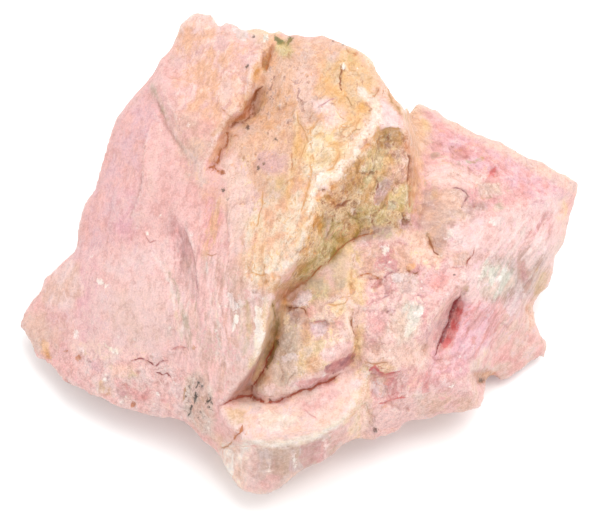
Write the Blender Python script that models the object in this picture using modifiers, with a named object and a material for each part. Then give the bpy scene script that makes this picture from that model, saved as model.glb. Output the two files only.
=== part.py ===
"""A rough piece of thulite: one lump of pink stone, broken on every side, that rests on a flat break.

Nothing about the stone is turned, extruded or symmetric, so it is set out the way land is surveyed. The
stone is looked down on, and each crest, crack and hollow is a named line of points on a drawing sheet, each
point with its height towards the eye. A triangulation that keeps those lines spans the breaks between them.
The sheet for the seen side and the sheet for the hidden side share their outline and close into one body.
The body is then worn, chipped and fluted, thinned to flat facets, and cut level where it rests.
"""

import math

import bmesh
import bpy
import numpy as np
from mathutils import Matrix, Vector, geometry, noise

# The driving dimensions, in metres and degrees
SHEET_UNIT = 0.0001
VIEW_ELEVATION = 60.0
REST_DEPTH = 0.0146
FACETS_BEFORE_CUT = 12000

# The middle of the drawing sheet, in tenths of a millimetre from its left and top edges
SHEET_CENTRE = (300, 264)
MILLIMETRE = 0.001

# How evenly and finely the body is worked, and how far its sharpest edges are worn
WORKING_GRAIN = 0.00036
WEAR_PASSES = 2
WEAR_SHARE = 0.5

# Each roughness of the break, in metres: how wide one swelling is, and how far it stands out
HIDDEN_LUMPS = (0.0100, 0.0016)
CHIPS = (0.0030, 0.00042)
FLUTES = (0.0015, 0.00030)
LEDGES = (0.0021, 0.00050)
FLUTE_STRETCH = 6.0
CHIP_WANDER = 0.5
CHIP_LEVEL = 0.4
LEDGE_WANDER_WIDTH, LEDGE_WANDER = 0.0075, 2.0
LEDGE_PATCH_WIDTH, LEDGE_PATCH_EDGE = 0.0090, (-0.15, 0.30)
LEDGE_LEAN = 0.6
LEDGE_TREAD = 0.72
NOISE_SEAT = Vector((3.7, 1.9, 5.3))
NOISE_SEED = 7

# The seen side already has its lines drawn, so it takes a smaller share of the roughness, and the right
# block, which broke more coarsely, a middling one. A face counts as hidden by how far it turns from the eye.
SEEN_SHARE, BLOCK_SHARE = 0.28, 0.64
HIDDEN_TURN = (-0.05, 0.50)

# Where the sheet's grain turns, in tenths of a millimetre across: the flutes of the left mass run down the
# sheet, and those of the right block run down to the left
GRAIN_TURN = (380, 470)
LEFT_GRAIN = Vector((0.12, -0.99, 0.05)).normalized()
RIGHT_GRAIN = Vector((-0.62, -0.76, 0.15)).normalized()

# The outline and the lines are (across, down, height towards the eye) in tenths of a millimetre
OUTLINE = [
    (200, 9, -50), (212, 15, -42), (220, 25, -36), (230, 21, -32), (241, 27, -26), (262, 29, -16),
    (269, 35, -12), (290, 36, -2), (312, 38, 4), (334, 40, 10), (351, 47, 14), (363, 53, 16),
    (371, 61, 18), (380, 75, 22), (388, 90, 28), (397, 103, 34), (401, 109, 36), (405, 107, -28),
    (420, 105, -36), (440, 113, -42), (456, 120, -46), (469, 133, -50), (500, 143, -60), (519, 156, -66),
    (541, 160, -74), (561, 170, -82), (580, 181, -90), (580, 192, -96), (576, 209, -98), (568, 232, -98),
    (559, 251, -96), (554, 267, -94), (547, 281, -90), (538, 292, -86), (532, 304, -82), (534, 317, -88),
    (543, 331, -96), (550, 348, -104), (546, 359, -104), (531, 368, -98), (514, 382, -92),
    (501, 386, -86), (488, 384, -58), (487, 397, -36), (479, 408, -30), (463, 413, -24), (440, 414, -18),
    (426, 419, -16), (413, 419, -12), (402, 426, -10), (387, 433, -8), (373, 438, -6), (356, 439, -2),
    (338, 448, 2), (323, 464, 6), (301, 472, 10), (283, 490, 8), (262, 498, 6), (246, 495, 3),
    (236, 489, 0), (224, 469, -2), (217, 453, -4), (203, 441, -8), (194, 430, -10), (184, 423, -12),
    (174, 418, -14), (165, 422, -20), (149, 418, -24), (130, 413, -30), (108, 404, -36), (88, 397, -44),
    (79, 391, -48), (63, 386, -56), (53, 375, -64), (42, 364, -72), (28, 347, -82), (19, 325, -90),
    (24, 310, -90), (41, 293, -84), (47, 278, -82), (60, 265, -78), (73, 250, -74), (77, 226, -72),
    (81, 206, -70), (94, 183, -68), (101, 158, -66), (109, 133, -64), (117, 114, -62), (130, 101, -60),
    (143, 87, -60), (152, 76, -60), (160, 57, -61), (171, 47, -61), (176, 33, -59), (183, 21, -57),
    (191, 12, -54),
]

SEEN_LINES = {
    "crack_lip": [
        (263, 44, 0), (258, 60, 8), (255, 74, 12), (251, 86, 15), (247, 98, 17), (241, 110, 18),
        (230, 117, 17), (222, 126, 16), (216, 140, 16), (209, 154, 17), (202, 166, 18),
    ],
    "crack_floor": [
        (272, 42, -10), (269, 54, -6), (267, 66, -3), (263, 81, -2), (257, 95, -4), (253, 109, -6),
        (246, 121, -2), (233, 126, 1), (227, 135, 3), (222, 148, 5), (216, 161, 8), (203, 173, 16),
    ],
    "crack_far_side": [
        (278, 46, 2), (276, 64, 8), (272, 86, 10), (266, 104, 11), (256, 124, 14), (241, 134, 17),
        (234, 146, 20), (228, 160, 21), (214, 177, 22),
    ],
    "vein_crest": [
        (388, 95, 36), (383, 107, 50), (379, 121, 62), (371, 140, 71), (357, 155, 79), (344, 171, 86),
        (328, 183, 92), (317, 195, 95), (313, 212, 98), (308, 231, 99), (298, 254, 98), (286, 272, 94),
        (273, 286, 89), (271, 302, 85), (267, 322, 82), (263, 341, 78), (257, 358, 71), (247, 374, 62),
        (237, 387, 54), (228, 396, 46), (218, 403, 38),
    ],
    "brow_edge": [(379, 121, 62), (389, 128, 56), (400, 129, 51), (412, 139, 45)],
    "brow_foot": [(379, 136, 56), (390, 139, 44), (401, 141, 40), (409, 149, 38)],
    "peak_side": [
        (401, 109, 36), (406, 123, 43), (412, 139, 45), (411, 157, 38), (412, 180, 34),
        (411, 205, 29), (411, 228, 23),
    ],
    "peak_side_foot": [
        (405, 107, -28), (411, 123, -19), (417, 139, -9), (416, 157, -3), (417, 180, 3),
        (416, 205, 9), (417, 231, 17),
    ],
    "olive_valley": [
        (417, 231, 17), (411, 228, 23), (399, 227, 26), (381, 230, 30), (365, 234, 33), (350, 242, 38),
        (336, 254, 41), (325, 266, 43), (311, 277, 45), (299, 286, 42), (286, 298, 34), (279, 311, 24),
        (275, 326, 14), (272, 342, 8), (266, 357, 4), (258, 373, 2), (251, 389, 6), (240, 396, 18),
        (230, 400, 29), (218, 403, 38),
    ],
    "block_left_rim": [
        (316, 287, 50), (302, 296, 49), (289, 306, 48), (282, 322, 47), (280, 342, 45), (273, 358, 42),
        (263, 374, 38), (255, 387, 31), (258, 394, 34), (266, 395, 41), (281, 396, 47), (296, 392, 51),
        (309, 386, 54), (320, 379, 55),
    ],
    "block_low_facet": [
        (320, 379, 55), (322, 367, 63), (329, 358, 65), (341, 349, 62), (351, 342, 58), (352, 330, 58),
        (346, 316, 57), (344, 302, 54),
    ],
    "bottom_crack": [
        (251, 389, 6), (257, 398, 18), (266, 400, 27), (281, 401, 33), (297, 398, 37), (311, 391, 39),
        (325, 383, 40), (338, 376, 39), (350, 368, 38), (357, 358, 40), (359, 346, 43), (356, 332, 47),
        (352, 317, 49), (350, 301, 49), (350, 276, 45), (350, 242, 38),
    ],
    "ledge_back": [
        (222, 409, 42), (245, 404, 40), (265, 405, 43), (284, 405, 46), (301, 402, 48), (316, 395, 49),
        (331, 387, 48), (345, 380, 46), (357, 372, 45), (363, 372, 46),
    ],
    "ledge_front": [
        (222, 409, 42), (231, 424, 52), (241, 435, 60), (256, 441, 66), (272, 443, 70), (293, 440, 74),
        (314, 436, 75), (331, 428, 73), (346, 417, 67), (358, 402, 58), (365, 388, 51), (363, 372, 46),
    ],
    "prow": [(256, 441, 66), (249, 460, 48), (252, 480, 25), (262, 498, 6)],
    "prow_right": [(346, 417, 67), (347, 433, 34), (338, 448, 2)],
    "speck_rib": [(218, 403, 38), (211, 420, 24), (203, 441, -8)],
    "shoulder": [
        (417, 231, 17), (433, 237, 16), (450, 229, 14), (470, 217, 8), (495, 212, -5), (520, 207, -21),
        (546, 199, -46), (580, 181, -90),
    ],
    "right_rim": [
        (546, 199, -46), (556, 222, -62), (547, 250, -58), (536, 274, -56), (525, 296, -54),
        (514, 316, -52), (505, 336, -55), (498, 356, -60), (488, 384, -58),
    ],
    "slit_left_rim": [
        (433, 237, 16), (452, 262, 20), (469, 282, 20), (456, 291, 28), (444, 303, 35), (434, 318, 39),
        (425, 335, 39), (417, 352, 35),
    ],
    "slit_floor": [
        (469, 282, 20), (465, 287, 4), (460, 295, -10), (455, 306, -20), (449, 319, -22), (443, 333, -16),
        (438, 345, -4), (434, 355, 10), (448, 360, 3), (460, 356, 0), (474, 350, -4),
    ],
    "slit_right_rim": [
        (469, 282, 20), (468, 294, 9), (465, 306, 7), (459, 321, 6), (452, 336, 7), (445, 349, 8),
    ],
    "pink_ledge": [
        (363, 372, 46), (372, 365, 53), (384, 371, 47), (400, 370, 44), (419, 363, 36), (434, 355, 10),
    ],
    "pink_ledge_foot": [(369, 381, 42), (385, 383, 34), (400, 381, 32), (417, 379, 27), (427, 371, 20)],
    "rose_fold": [(427, 371, 20), (425, 388, 16), (422, 404, 4), (426, 419, -16)],
    "hollow_edge": [(178, 221, 18), (188, 240, 25), (194, 262, 32), (198, 286, 38), (200, 306, 42)],
    "hollow_floor": [(170, 228, 6), (180, 250, 14), (186, 272, 20), (190, 294, 28)],
    "groove": [(153, 84, -40), (160, 102, -31), (168, 121, -22), (178, 142, -12), (189, 163, 0)],
    "groove_lip": [(160, 86, -30), (169, 104, -18), (178, 122, -9), (187, 141, -1), (198, 160, 10)],
    "left_bench": [
        (82, 268, -50), (84, 300, -42), (92, 328, -34), (112, 346, -20), (132, 358, -8), (158, 366, 8),
        (180, 352, 22),
    ],
}

SEEN_SPOTS = [
    (200, 40, -38), (200, 80, -20), (232, 50, -10), (226, 88, 2), (150, 130, -22), (140, 170, -20),
    (115, 200, -34), (170, 190, 0), (202, 215, 24), (120, 245, -22), (148, 260, 2), (115, 300, -14),
    (150, 310, 12), (58, 290, -66), (48, 325, -70), (66, 352, -54), (182, 330, 30),
    (215, 330, 48), (240, 330, 66), (245, 290, 72), (228, 258, 56), (245, 215, 52), (270, 235, 80),
    (280, 190, 68), (260, 160, 40), (300, 150, 54), (320, 130, 56), (300, 100, 32), (330, 80, 36),
    (310, 58, 18), (350, 68, 30), (360, 95, 44), (350, 120, 56), (225, 372, 46), (195, 370, 32),
    (160, 385, 0), (120, 380, -20), (90, 372, -38), (195, 400, 18), (160, 404, -10),
    (370, 165, 64), (390, 170, 48), (360, 200, 58), (385, 205, 40), (325, 230, 66), (300, 268, 68),
    (350, 220, 52), (430, 150, -10), (450, 180, 0), (440, 210, 10), (480, 165, -30), (500, 185, -24),
    (540, 182, -58), (465, 150, -32), (470, 245, 10), (500, 245, -8), (528, 238, -34),
    (485, 275, 0), (510, 285, -28), (485, 310, -6), (488, 335, -24), (478, 365, -18),
    (520, 340, -76), (515, 362, -80), (530, 350, -86), (320, 310, 54), (315, 340, 60),
    (300, 365, 56), (335, 335, 60), (340, 372, 46), (380, 260, 42), (410, 255, 30), (435, 265, 24),
    (380, 300, 54), (405, 300, 50), (370, 330, 58), (395, 345, 56), (430, 290, 36), (285, 420, 58),
    (320, 412, 60), (345, 400, 56), (290, 465, 34), (320, 450, 32), (370, 415, 26), (385, 405, 26),
    (405, 400, 24), (392, 420, 8), (445, 380, 16), (445, 400, 0), (468, 390, -2), (235, 455, 32),
    (222, 435, 24),
]

# Behind the outline the stone first falls away steeply, so no edge of it is thin. It never falls more than
# this share of the way to the level that the stone rests on.
RIM_INSET, RIM_FALL = 0.0011, 0.0030
RIM_FALL_SHARE = 0.45
RIM_STEP = 2
RIM_JUMP = 0.0020

# The hidden side is (right, away, up) in millimetres from the middle of the sheet. The ring around the rest
# is (right, away), and it is drawn a little too deep, because the level cut then takes all of it off.
REST_SPARE = 0.0020
REST_RING = [
    (-17, -4.5), (-12, -6), (-6, -12), (-1, -13), (4, -9.5), (10, -7), (16, -6), (20, -2.5), (21, 3),
    (17, 11), (9, 16), (0, 18), (-9, 16.5), (-16, 11), (-19.5, 3),
]
HIDDEN_SPOTS = [
    (-11, 23.5, 1), (-3, 24.5, -3), (5, 22.5, -1), (11, 19, -6), (18, 15.5, -5), (24, 12, -9),
    (-18, 17, -3), (-23.5, 8, -8), (-24.5, 0, -11.5), (-17.5, -7, -12), (8, -11.5, -12),
    (16, -9.5, -12.5), (24, -1, -12.5), (-9, 21, -9), (4, 20.5, -10), (20, 12, -11),
]

STONE_COLOUR = (0.76, 0.44, 0.38, 1.0)
STONE_ROUGHNESS = 0.62


def clear_scene():
    for old in list(bpy.data.objects):
        bpy.data.objects.remove(old, do_unlink=True)


def new_collection(name):
    group = bpy.data.collections.new(name)
    bpy.context.scene.collection.children.link(group)
    return group


def sheet_axes():
    """The sheet's right, up and towards-the-eye directions, where the stone stands on its rest."""
    tilt = math.radians(VIEW_ELEVATION)
    right = Vector((1, 0, 0))
    up = Vector((0, math.sin(tilt), math.cos(tilt)))
    to_eye = Vector((0, -math.cos(tilt), math.sin(tilt)))
    return right, up, to_eye


def from_sheet(point):
    """A drawn point, in metres right, up and towards the eye from the middle of the sheet."""
    across, down, height = point
    return Vector((across - SHEET_CENTRE[0], SHEET_CENTRE[1] - down, height)) * SHEET_UNIT


def from_standing(point):
    """A point of the hidden side, turned to the sheet's own directions."""
    place = Vector(point) * MILLIMETRE
    return Vector([place.dot(axis) for axis in sheet_axes()])


def span(rim, lines, spots):
    """Points and triangles of one sheet, the rim's points first. Every line becomes a row of edges."""
    places = []
    numbers = {}

    def number(place):
        key = place.to_tuple(7)
        if key not in numbers:
            numbers[key] = len(places)
            places.append(place)
        return numbers[key]

    ring = [number(place) for place in rim]
    edges = list(zip(ring, ring[1:] + ring[:1]))
    for line in lines:
        run = [number(place) for place in line]
        edges += list(zip(run, run[1:]))
    for place in spots:
        number(place)
    flat = [place.xy for place in places]
    inside_rim, touching = 1, 1e-7
    _, _, faces, sources, _, _ = geometry.delaunay_2d_cdt(flat, edges, [], inside_rim, touching)
    if not all(sources):
        raise ValueError("two drawn lines cross where neither has a point")
    return places, [[sources[corner][0] for corner in face] for face in faces]


def rim_backing(rim):
    """Points close behind the outline, a little inside it and well below it, but none at a jump of it."""
    _, up, to_eye = sheet_axes()
    backing = []
    for here in range(0, len(rim), RIM_STEP):
        before, after = rim[here - 1], rim[(here + 1) % len(rim)]
        if abs(after.z - before.z) > RIM_JUMP:
            continue
        along = (after - before).xy.normalized()
        inward = Vector((along.y, -along.x, 0))
        above_rest = rim[here].y * up.z + rim[here].z * to_eye.z + REST_DEPTH
        fall = min(RIM_FALL, RIM_FALL_SHARE * above_rest)
        backing.append(rim[here] + inward * RIM_INSET - Vector((0, 0, fall)))
    return backing


def drawn_body():
    """Both sheets, closed into one mesh along the outline."""
    rim = [from_sheet(point) for point in OUTLINE]
    lines = [[from_sheet(point) for point in line] for line in SEEN_LINES.values()]
    seen_places, seen_faces = span(rim, lines, [from_sheet(point) for point in SEEN_SPOTS])
    rest_level = -(REST_DEPTH + REST_SPARE) / MILLIMETRE
    ring = [from_standing((right, away, rest_level)) for right, away in REST_RING]
    spots = rim_backing(rim) + [from_standing(point) for point in HIDDEN_SPOTS]
    hidden_places, hidden_faces = span(rim, [ring + ring[:1]], spots)
    body = bmesh.new()
    seen = [body.verts.new(place) for place in seen_places]
    hidden = seen[:len(rim)] + [body.verts.new(place) for place in hidden_places[len(rim):]]
    for face in seen_faces:
        body.faces.new([seen[corner] for corner in face])
    for face in hidden_faces:
        body.faces.new([hidden[corner] for corner in reversed(face)])
    bmesh.ops.recalc_face_normals(body, faces=body.faces)
    mesh = bpy.data.meshes.new("drawn_body")
    body.to_mesh(mesh)
    body.free()
    return mesh


def after_modifiers(mesh, add_modifiers):
    """The mesh as the modifiers that add_modifiers puts on its object leave it."""
    carrier = bpy.data.objects.new("carrier", mesh)
    bpy.context.scene.collection.objects.link(carrier)
    add_modifiers(carrier)
    bpy.context.view_layer.update()
    evaluated = carrier.evaluated_get(bpy.context.evaluated_depsgraph_get())
    result = bpy.data.meshes.new_from_object(evaluated)
    bpy.data.objects.remove(carrier)
    bpy.data.meshes.remove(mesh)
    return result


def even_and_worn(carrier):
    """An even, fine grain all over, with the sharpest edges worn."""
    even = carrier.modifiers.new("even_grain", "REMESH")
    even.mode = "VOXEL"
    even.voxel_size = WORKING_GRAIN
    wear = carrier.modifiers.new("wear", "SMOOTH")
    wear.factor = WEAR_SHARE
    wear.iterations = WEAR_PASSES


def thinned(carrier):
    """As few flat facets as still hold the lumps, ledges and cracks."""
    carrier.data.calc_loop_triangles()
    thin = carrier.modifiers.new("facets", "DECIMATE")
    thin.ratio = FACETS_BEFORE_CUT / len(carrier.data.loop_triangles)


def eased(value, low, high):
    """0 below low, 1 above high, and a smooth climb between."""
    share = min(1.0, max(0.0, (value - low) / (high - low)))
    return share * share * (3.0 - 2.0 * share)


def swelling(place, width, octaves):
    """Even-tempered lumps, between about -1 and 1."""
    roughness, spacing = 0.9, 2.1
    return noise.fractal(place / width + NOISE_SEAT, roughness, spacing, octaves)


def chip_relief(place):
    """Flat-bottomed flakes that meet in low ridges."""
    width = CHIPS[0]
    wander = noise.noise_vector(place / width + NOISE_SEAT) * width * CHIP_WANDER
    distances, _ = noise.voronoi((place + wander) / width)
    return distances[0] - CHIP_LEVEL


def flute_relief(place, grain):
    """Ribs that run along the grain."""
    along = grain * place.dot(grain)
    squeezed = place - along + along / FLUTE_STRETCH
    return swelling(squeezed, FLUTES[0], 3)


def ledge_relief(place, grain):
    """Treads and risers where thin layers broke one by one, in patches."""
    across = place.dot(grain.cross(Vector((0, 0, 1))).normalized())
    lean = LEDGE_LEAN * place.z
    wander = LEDGE_WANDER * swelling(place, LEDGE_WANDER_WIDTH, 3)
    course = (across + lean) / LEDGES[0] + wander
    tread = course - math.floor(course)
    patch = eased(swelling(place, LEDGE_PATCH_WIDTH, 2), *LEDGE_PATCH_EDGE)
    return patch * (eased(tread, LEDGE_TREAD, 1.0) - tread)


def roughened(mesh):
    """The worked body with its lumps, flakes, flutes and ledges, each pushed along the surface's normal."""
    noise.seed_set(NOISE_SEED)
    turn_start, turn_end = (SHEET_UNIT * (across - SHEET_CENTRE[0]) for across in GRAIN_TURN)
    places = [vertex.co.copy() for vertex in mesh.vertices]
    normals = [vertex.normal.copy() for vertex in mesh.vertices]
    for vertex, place, normal in zip(mesh.vertices, places, normals):
        turned = eased(place.x, turn_start, turn_end)
        grain = LEFT_GRAIN.lerp(RIGHT_GRAIN, turned).normalized()
        hidden = eased(-normal.z, *HIDDEN_TURN)
        share = SEEN_SHARE + (BLOCK_SHARE - SEEN_SHARE) * turned
        share += (1.0 - share) * hidden
        push = hidden * HIDDEN_LUMPS[1] * swelling(place, HIDDEN_LUMPS[0], 3)
        push += share * CHIPS[1] * chip_relief(place)
        push += share * FLUTES[1] * flute_relief(place, grain)
        push += share * LEDGES[1] * ledge_relief(place, grain)
        vertex.co = place + normal * push
    mesh.update()
    return mesh


def stand_up(mesh):
    """Turns the body from the sheet's directions to the standing ones."""
    right, up, to_eye = sheet_axes()
    mesh.transform(Matrix((right, up, to_eye)).transposed().to_4x4())


def centre_on_rest(mesh):
    """Puts the middle of the stone's box over the origin, with the rest at height zero."""
    corners = np.empty(len(mesh.vertices) * 3, dtype=np.float32)
    mesh.vertices.foreach_get("co", corners)
    corners = corners.reshape(-1, 3).astype(float)
    above = corners[corners[:, 2] >= -REST_DEPTH]
    middle = (above.min(axis=0) + above.max(axis=0)) / 2
    mesh.transform(Matrix.Translation((-middle[0], -middle[1], REST_DEPTH)))


def cut_level(mesh):
    """Takes off what lies below the rest, and closes the stone there with one flat break."""
    body = bmesh.new()
    body.from_mesh(mesh)
    everything = body.verts[:] + body.edges[:] + body.faces[:]
    bmesh.ops.bisect_plane(body, geom=everything, plane_co=(0, 0, 0), plane_no=(0, 0, 1), clear_inner=True)
    open_rim = [edge for edge in body.edges if edge.is_boundary]
    bmesh.ops.holes_fill(body, edges=open_rim)
    bmesh.ops.triangulate(body, faces=body.faces)
    bmesh.ops.recalc_face_normals(body, faces=body.faces)
    body.to_mesh(mesh)
    body.free()


def stone_material():
    material = bpy.data.materials.new("pink_thulite")
    material.use_nodes = True
    shader = material.node_tree.nodes["Principled BSDF"]
    shader.inputs["Base Color"].default_value = STONE_COLOUR
    shader.inputs["Roughness"].default_value = STONE_ROUGHNESS
    shader.inputs["Metallic"].default_value = 0.0
    return material


def main():
    clear_scene()
    mesh = after_modifiers(drawn_body(), even_and_worn)
    mesh = after_modifiers(roughened(mesh), thinned)
    stand_up(mesh)
    centre_on_rest(mesh)
    cut_level(mesh)
    mesh.name = "thulite_stone"
    mesh.materials.append(stone_material())
    stone = bpy.data.objects.new("thulite_stone", mesh)
    new_collection("rough_thulite").objects.link(stone)


main()
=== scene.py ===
# %% [markdown]
# # Rough thulite, from a faceted solid to a finished stone
#
# Thulite is the pink, massive kind of zoisite. This piece is about as long as a thumb and is broken on
# every side: a satiny left face, a peach pillar with a granular white crest, an olive hollow under it, a
# cleft, stepped blocks, and a coarser block on the right. The solid in the frame holds those forms in flat
# facets about a millimetre wide. The lesson grows the finished stone from it: a finer mesh, the drawn
# breaks, the texture of broken mineral, the pigments, and last the floor, the light and the camera.

import math

import bmesh
import bpy
import numpy as np
from mathutils import Matrix, Vector, noise


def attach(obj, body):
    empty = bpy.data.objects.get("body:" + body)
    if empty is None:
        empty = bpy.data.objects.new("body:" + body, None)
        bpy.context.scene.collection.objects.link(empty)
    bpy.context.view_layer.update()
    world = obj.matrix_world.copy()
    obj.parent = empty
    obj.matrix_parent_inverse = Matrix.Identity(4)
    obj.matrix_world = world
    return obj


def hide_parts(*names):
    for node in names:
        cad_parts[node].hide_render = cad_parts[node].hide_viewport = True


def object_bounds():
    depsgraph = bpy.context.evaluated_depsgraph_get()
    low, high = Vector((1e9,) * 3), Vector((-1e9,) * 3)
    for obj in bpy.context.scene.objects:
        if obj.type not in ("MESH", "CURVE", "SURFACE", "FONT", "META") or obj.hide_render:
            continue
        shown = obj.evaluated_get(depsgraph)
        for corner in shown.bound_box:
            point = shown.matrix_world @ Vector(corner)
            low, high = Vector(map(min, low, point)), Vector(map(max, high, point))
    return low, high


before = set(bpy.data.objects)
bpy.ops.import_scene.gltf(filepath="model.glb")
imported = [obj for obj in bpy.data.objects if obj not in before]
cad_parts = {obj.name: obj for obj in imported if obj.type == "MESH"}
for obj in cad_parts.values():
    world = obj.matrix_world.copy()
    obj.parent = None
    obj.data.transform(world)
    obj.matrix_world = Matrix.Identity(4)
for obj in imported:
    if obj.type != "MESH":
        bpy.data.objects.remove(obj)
CAD_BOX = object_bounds()
NODE = "thulite_stone"
MM = 0.001
print("solid:", [round(side / MM, 1) for side in CAD_BOX[1] - CAD_BOX[0]], "mm")

# %% [markdown]
# ## The drawing sheet
#
# Marks on a stone follow no axis, so they are placed as on a tracing: a sheet lies square to the line of
# sight, 60 degrees down on the stone, and a place on it is (across, down) in tenths of a millimetre. A
# vertex is looked up on the sheet by projecting it, which needs no unwrapping. A UV map would be the other
# way, but a lump like this has no seams to unwrap along.

# %% The sheet and its axes
VIEW_ELEVATION = math.radians(60)
SHEET_MIDDLE = Vector((0.259, -2.322, 14.6)) * MM
SHEET_CENTRE = np.array((300.0, 264.0))
SHEET_WIDTH = 0.060
TENTH = 0.1 * MM
RIGHT = Vector((1, 0, 0))
UP = Vector((0, math.sin(VIEW_ELEVATION), math.cos(VIEW_ELEVATION)))
TO_EYE = Vector((0, -math.cos(VIEW_ELEVATION), math.sin(VIEW_ELEVATION)))


def on_sheet(points):
    """(across, down, height) of each point, in tenths of a millimetre."""
    local = (points - np.array(SHEET_MIDDLE)) @ np.array((RIGHT, UP, TO_EYE)).T / TENTH
    return np.column_stack((SHEET_CENTRE[0] + local[:, 0], SHEET_CENTRE[1] - local[:, 1], local[:, 2]))


print("sheet:", round(SHEET_WIDTH / TENTH), "tenths of a millimetre wide")

# %% [markdown]
# ## A fine, closed mesh
#
# The facets are far too large for grain that is a few hundredths of a millimetre deep. Subdividing would
# keep their slivers, so the copy is rebuilt with a voxel Remesh, which spends its faces evenly and stays
# closed. A short smooth takes off the facet edges, and the real edges are cut again later.

# %% Remesh the copy
FINE_GRAIN = 0.262 * MM
WELDED_WITHIN = 1e-7
WEAR_ROUNDS = 5
WEAR_SHARE = 0.5


def keep_modified(carrier):
    """Turns what the modifiers show into the object's own plain mesh, and takes them off."""
    bpy.context.view_layer.update()
    evaluated = carrier.evaluated_get(bpy.context.evaluated_depsgraph_get())
    shown = bpy.data.meshes.new_from_object(evaluated)
    carrier.modifiers.clear()
    source, carrier.data = carrier.data, shown
    bpy.data.meshes.remove(source)


welded = bmesh.new()
welded.from_mesh(bpy.data.objects[NODE].data)
bmesh.ops.remove_doubles(welded, verts=welded.verts, dist=WELDED_WITHIN)
copy = bpy.data.meshes.new("welded_copy")
welded.to_mesh(copy)
welded.free()
stone = bpy.data.objects.new("thulite_lump", copy)
bpy.context.scene.collection.objects.link(stone)
even = stone.modifiers.new("even_grain", "REMESH")
even.mode = "VOXEL"
even.voxel_size = FINE_GRAIN
wear = stone.modifiers.new("facet_wear", "SMOOTH")
wear.factor = WEAR_SHARE
wear.iterations = WEAR_ROUNDS
keep_modified(stone)
print("fine mesh:", len(stone.data.vertices), "vertices")

# %% [markdown]
# ## What each vertex is, and what it sees
#
# NumPy reads all vertices at once, which is far quicker than a loop over them. The flat break underneath
# needs few faces, so a Decimate modifier thins only that. What is left is then sorted by how it faces the
# eye.

# %% Thin the base, and read places and normals
BASE_KEPT = 0.25
BASE_HEIGHT = 0.05 * MM
BASE_SLANT = 0.98
EDGE_OF_VIEW = (-0.10, 0.12)


def read(mesh, name, values_each, source="vertices"):
    values = np.empty(len(getattr(mesh, source)) * values_each, dtype=np.float32)
    getattr(mesh, source).foreach_get(name, values)
    return values.reshape(-1, values_each).astype(float)


def eased(value, low, high):
    """0 below low, 1 above high, and a smooth climb between."""
    share = np.clip((value - low) / (high - low), 0, 1)
    return share * share * (3 - 2 * share)


low = read(stone.data, "co", 3)[:, 2] < BASE_HEIGHT
base = low & (read(stone.data, "normal", 3)[:, 2] < -BASE_SLANT)
stone.vertex_groups.new(name="base").add(np.flatnonzero(base).tolist(), 1.0, "REPLACE")
thin = stone.modifiers.new("thinner_base", "DECIMATE")
thin.vertex_group = "base"
thin.ratio = 1 - (1 - BASE_KEPT) * float(base.mean())
keep_modified(stone)
stone.vertex_groups.clear()
stone.data.shade_smooth()
places = read(stone.data, "co", 3)
normals = read(stone.data, "normal", 3)
facing = normals @ np.array(TO_EYE)
seen = eased(facing, *EDGE_OF_VIEW)
hidden = 1 - seen
print("with a thinner base:", len(stone.data.vertices), "vertices")
print("share of the skin that the sheet sees:", round(float(seen.mean()), 2))

# %% [markdown]
# ## Noise that wanders
#
# No edge in broken stone is straight. Every mark is therefore looked up at a place that first wanders a
# little, by smooth noise. Behind the stone the wander grows to several millimetres, so colours run through
# the stone to its hidden side, as they do in nature, but don't repeat there as a mirror image.

# %% Fractal noise and the wander
OCTAVE_FADE = 0.85
OCTAVE_STEP = 2.1
SEAT_AXES = np.array((1.0, 0.7, 1.9))
DOWN_SEAT = 5.3
noise.seed_set(11)


def swell(points, width, octaves, seat):
    """Fractal noise, between about -1 and 1, whose widest swelling is width. Each seat is another noise."""
    shifted = points / width + seat * SEAT_AXES
    return np.array([noise.fractal(place, OCTAVE_FADE, OCTAVE_STEP, octaves) for place in shifted.tolist()])


def wander(points, width, reach, octaves, seat):
    """Steps across and down the sheet, in tenths of a millimetre."""
    return reach * np.column_stack([swell(points, width, octaves, seat + turn) for turn in (0, DOWN_SEAT)])


fine_wander = wander(places, width=1.0 * MM, reach=1.4, octaves=4, seat=3.1)
sheet = on_sheet(places)
flat = sheet[:, :2] + fine_wander
print("fine wander reaches", round(float(np.abs(fine_wander).max()), 1), "tenths")

# %% [markdown]
# ## Drawing with lines and patches
#
# Two brushes draw everything. A line knows how far each vertex is from it, on which side, and how far
# along. A patch is a closed outline with a soft edge. Both are plain distance sums, so they work at any
# mesh size. Either is written as a path, the places that a pen would pass: "272,45 270,53" goes from 272
# across and 45 down to 270 across and 53 down.

# %% Read a path, and measure from it


def corners(path):
    """The places of a path, one row each."""
    return np.array([place.split(",") for place in path.split()], dtype=float)


def near(spots, line, reach):
    """Which spots lie within reach of the box around a line."""
    low, high = line.min(axis=0) - reach, line.max(axis=0) + reach
    return ((spots > low) & (spots < high)).all(axis=1)


def from_point(spots, across, down):
    return np.hypot(*(spots - (across, down)).T)


def from_line(spots, line):
    """Distance to a line, the side of it (+1 on a walker's right hand), and the share of the way along."""
    nearest = np.full(len(spots), 1e9)
    side = np.ones(len(spots))
    along = np.zeros(len(spots))
    walked = 0.0
    for start, end in zip(line, line[1:]):
        run = end - start
        length = np.hypot(*run)
        share = np.clip((spots - start) @ run / length**2, 0, 1)
        away = spots - start - share[:, None] * run
        distance = np.hypot(away[:, 0], away[:, 1])
        nearer = distance < nearest
        nearest = np.where(nearer, distance, nearest)
        side = np.where(nearer, np.sign(run[0] * away[:, 1] - run[1] * away[:, 0]), side)
        along = np.where(nearer, walked + share * length, along)
        walked += length
    return nearest, side, along / walked


def beside(spots, path, reach):
    """Which spots are within reach of a path, and for those the distance, the side and the share along."""
    line = corners(path)
    close = near(spots, line, reach)
    return (close, *from_line(spots[close], line))


def tapered(along, quickness, least):
    """1 along most of a line, and down to least at both of its ends."""
    return np.clip(quickness * np.minimum(along, 1 - along) + least, 0, 1)


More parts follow.
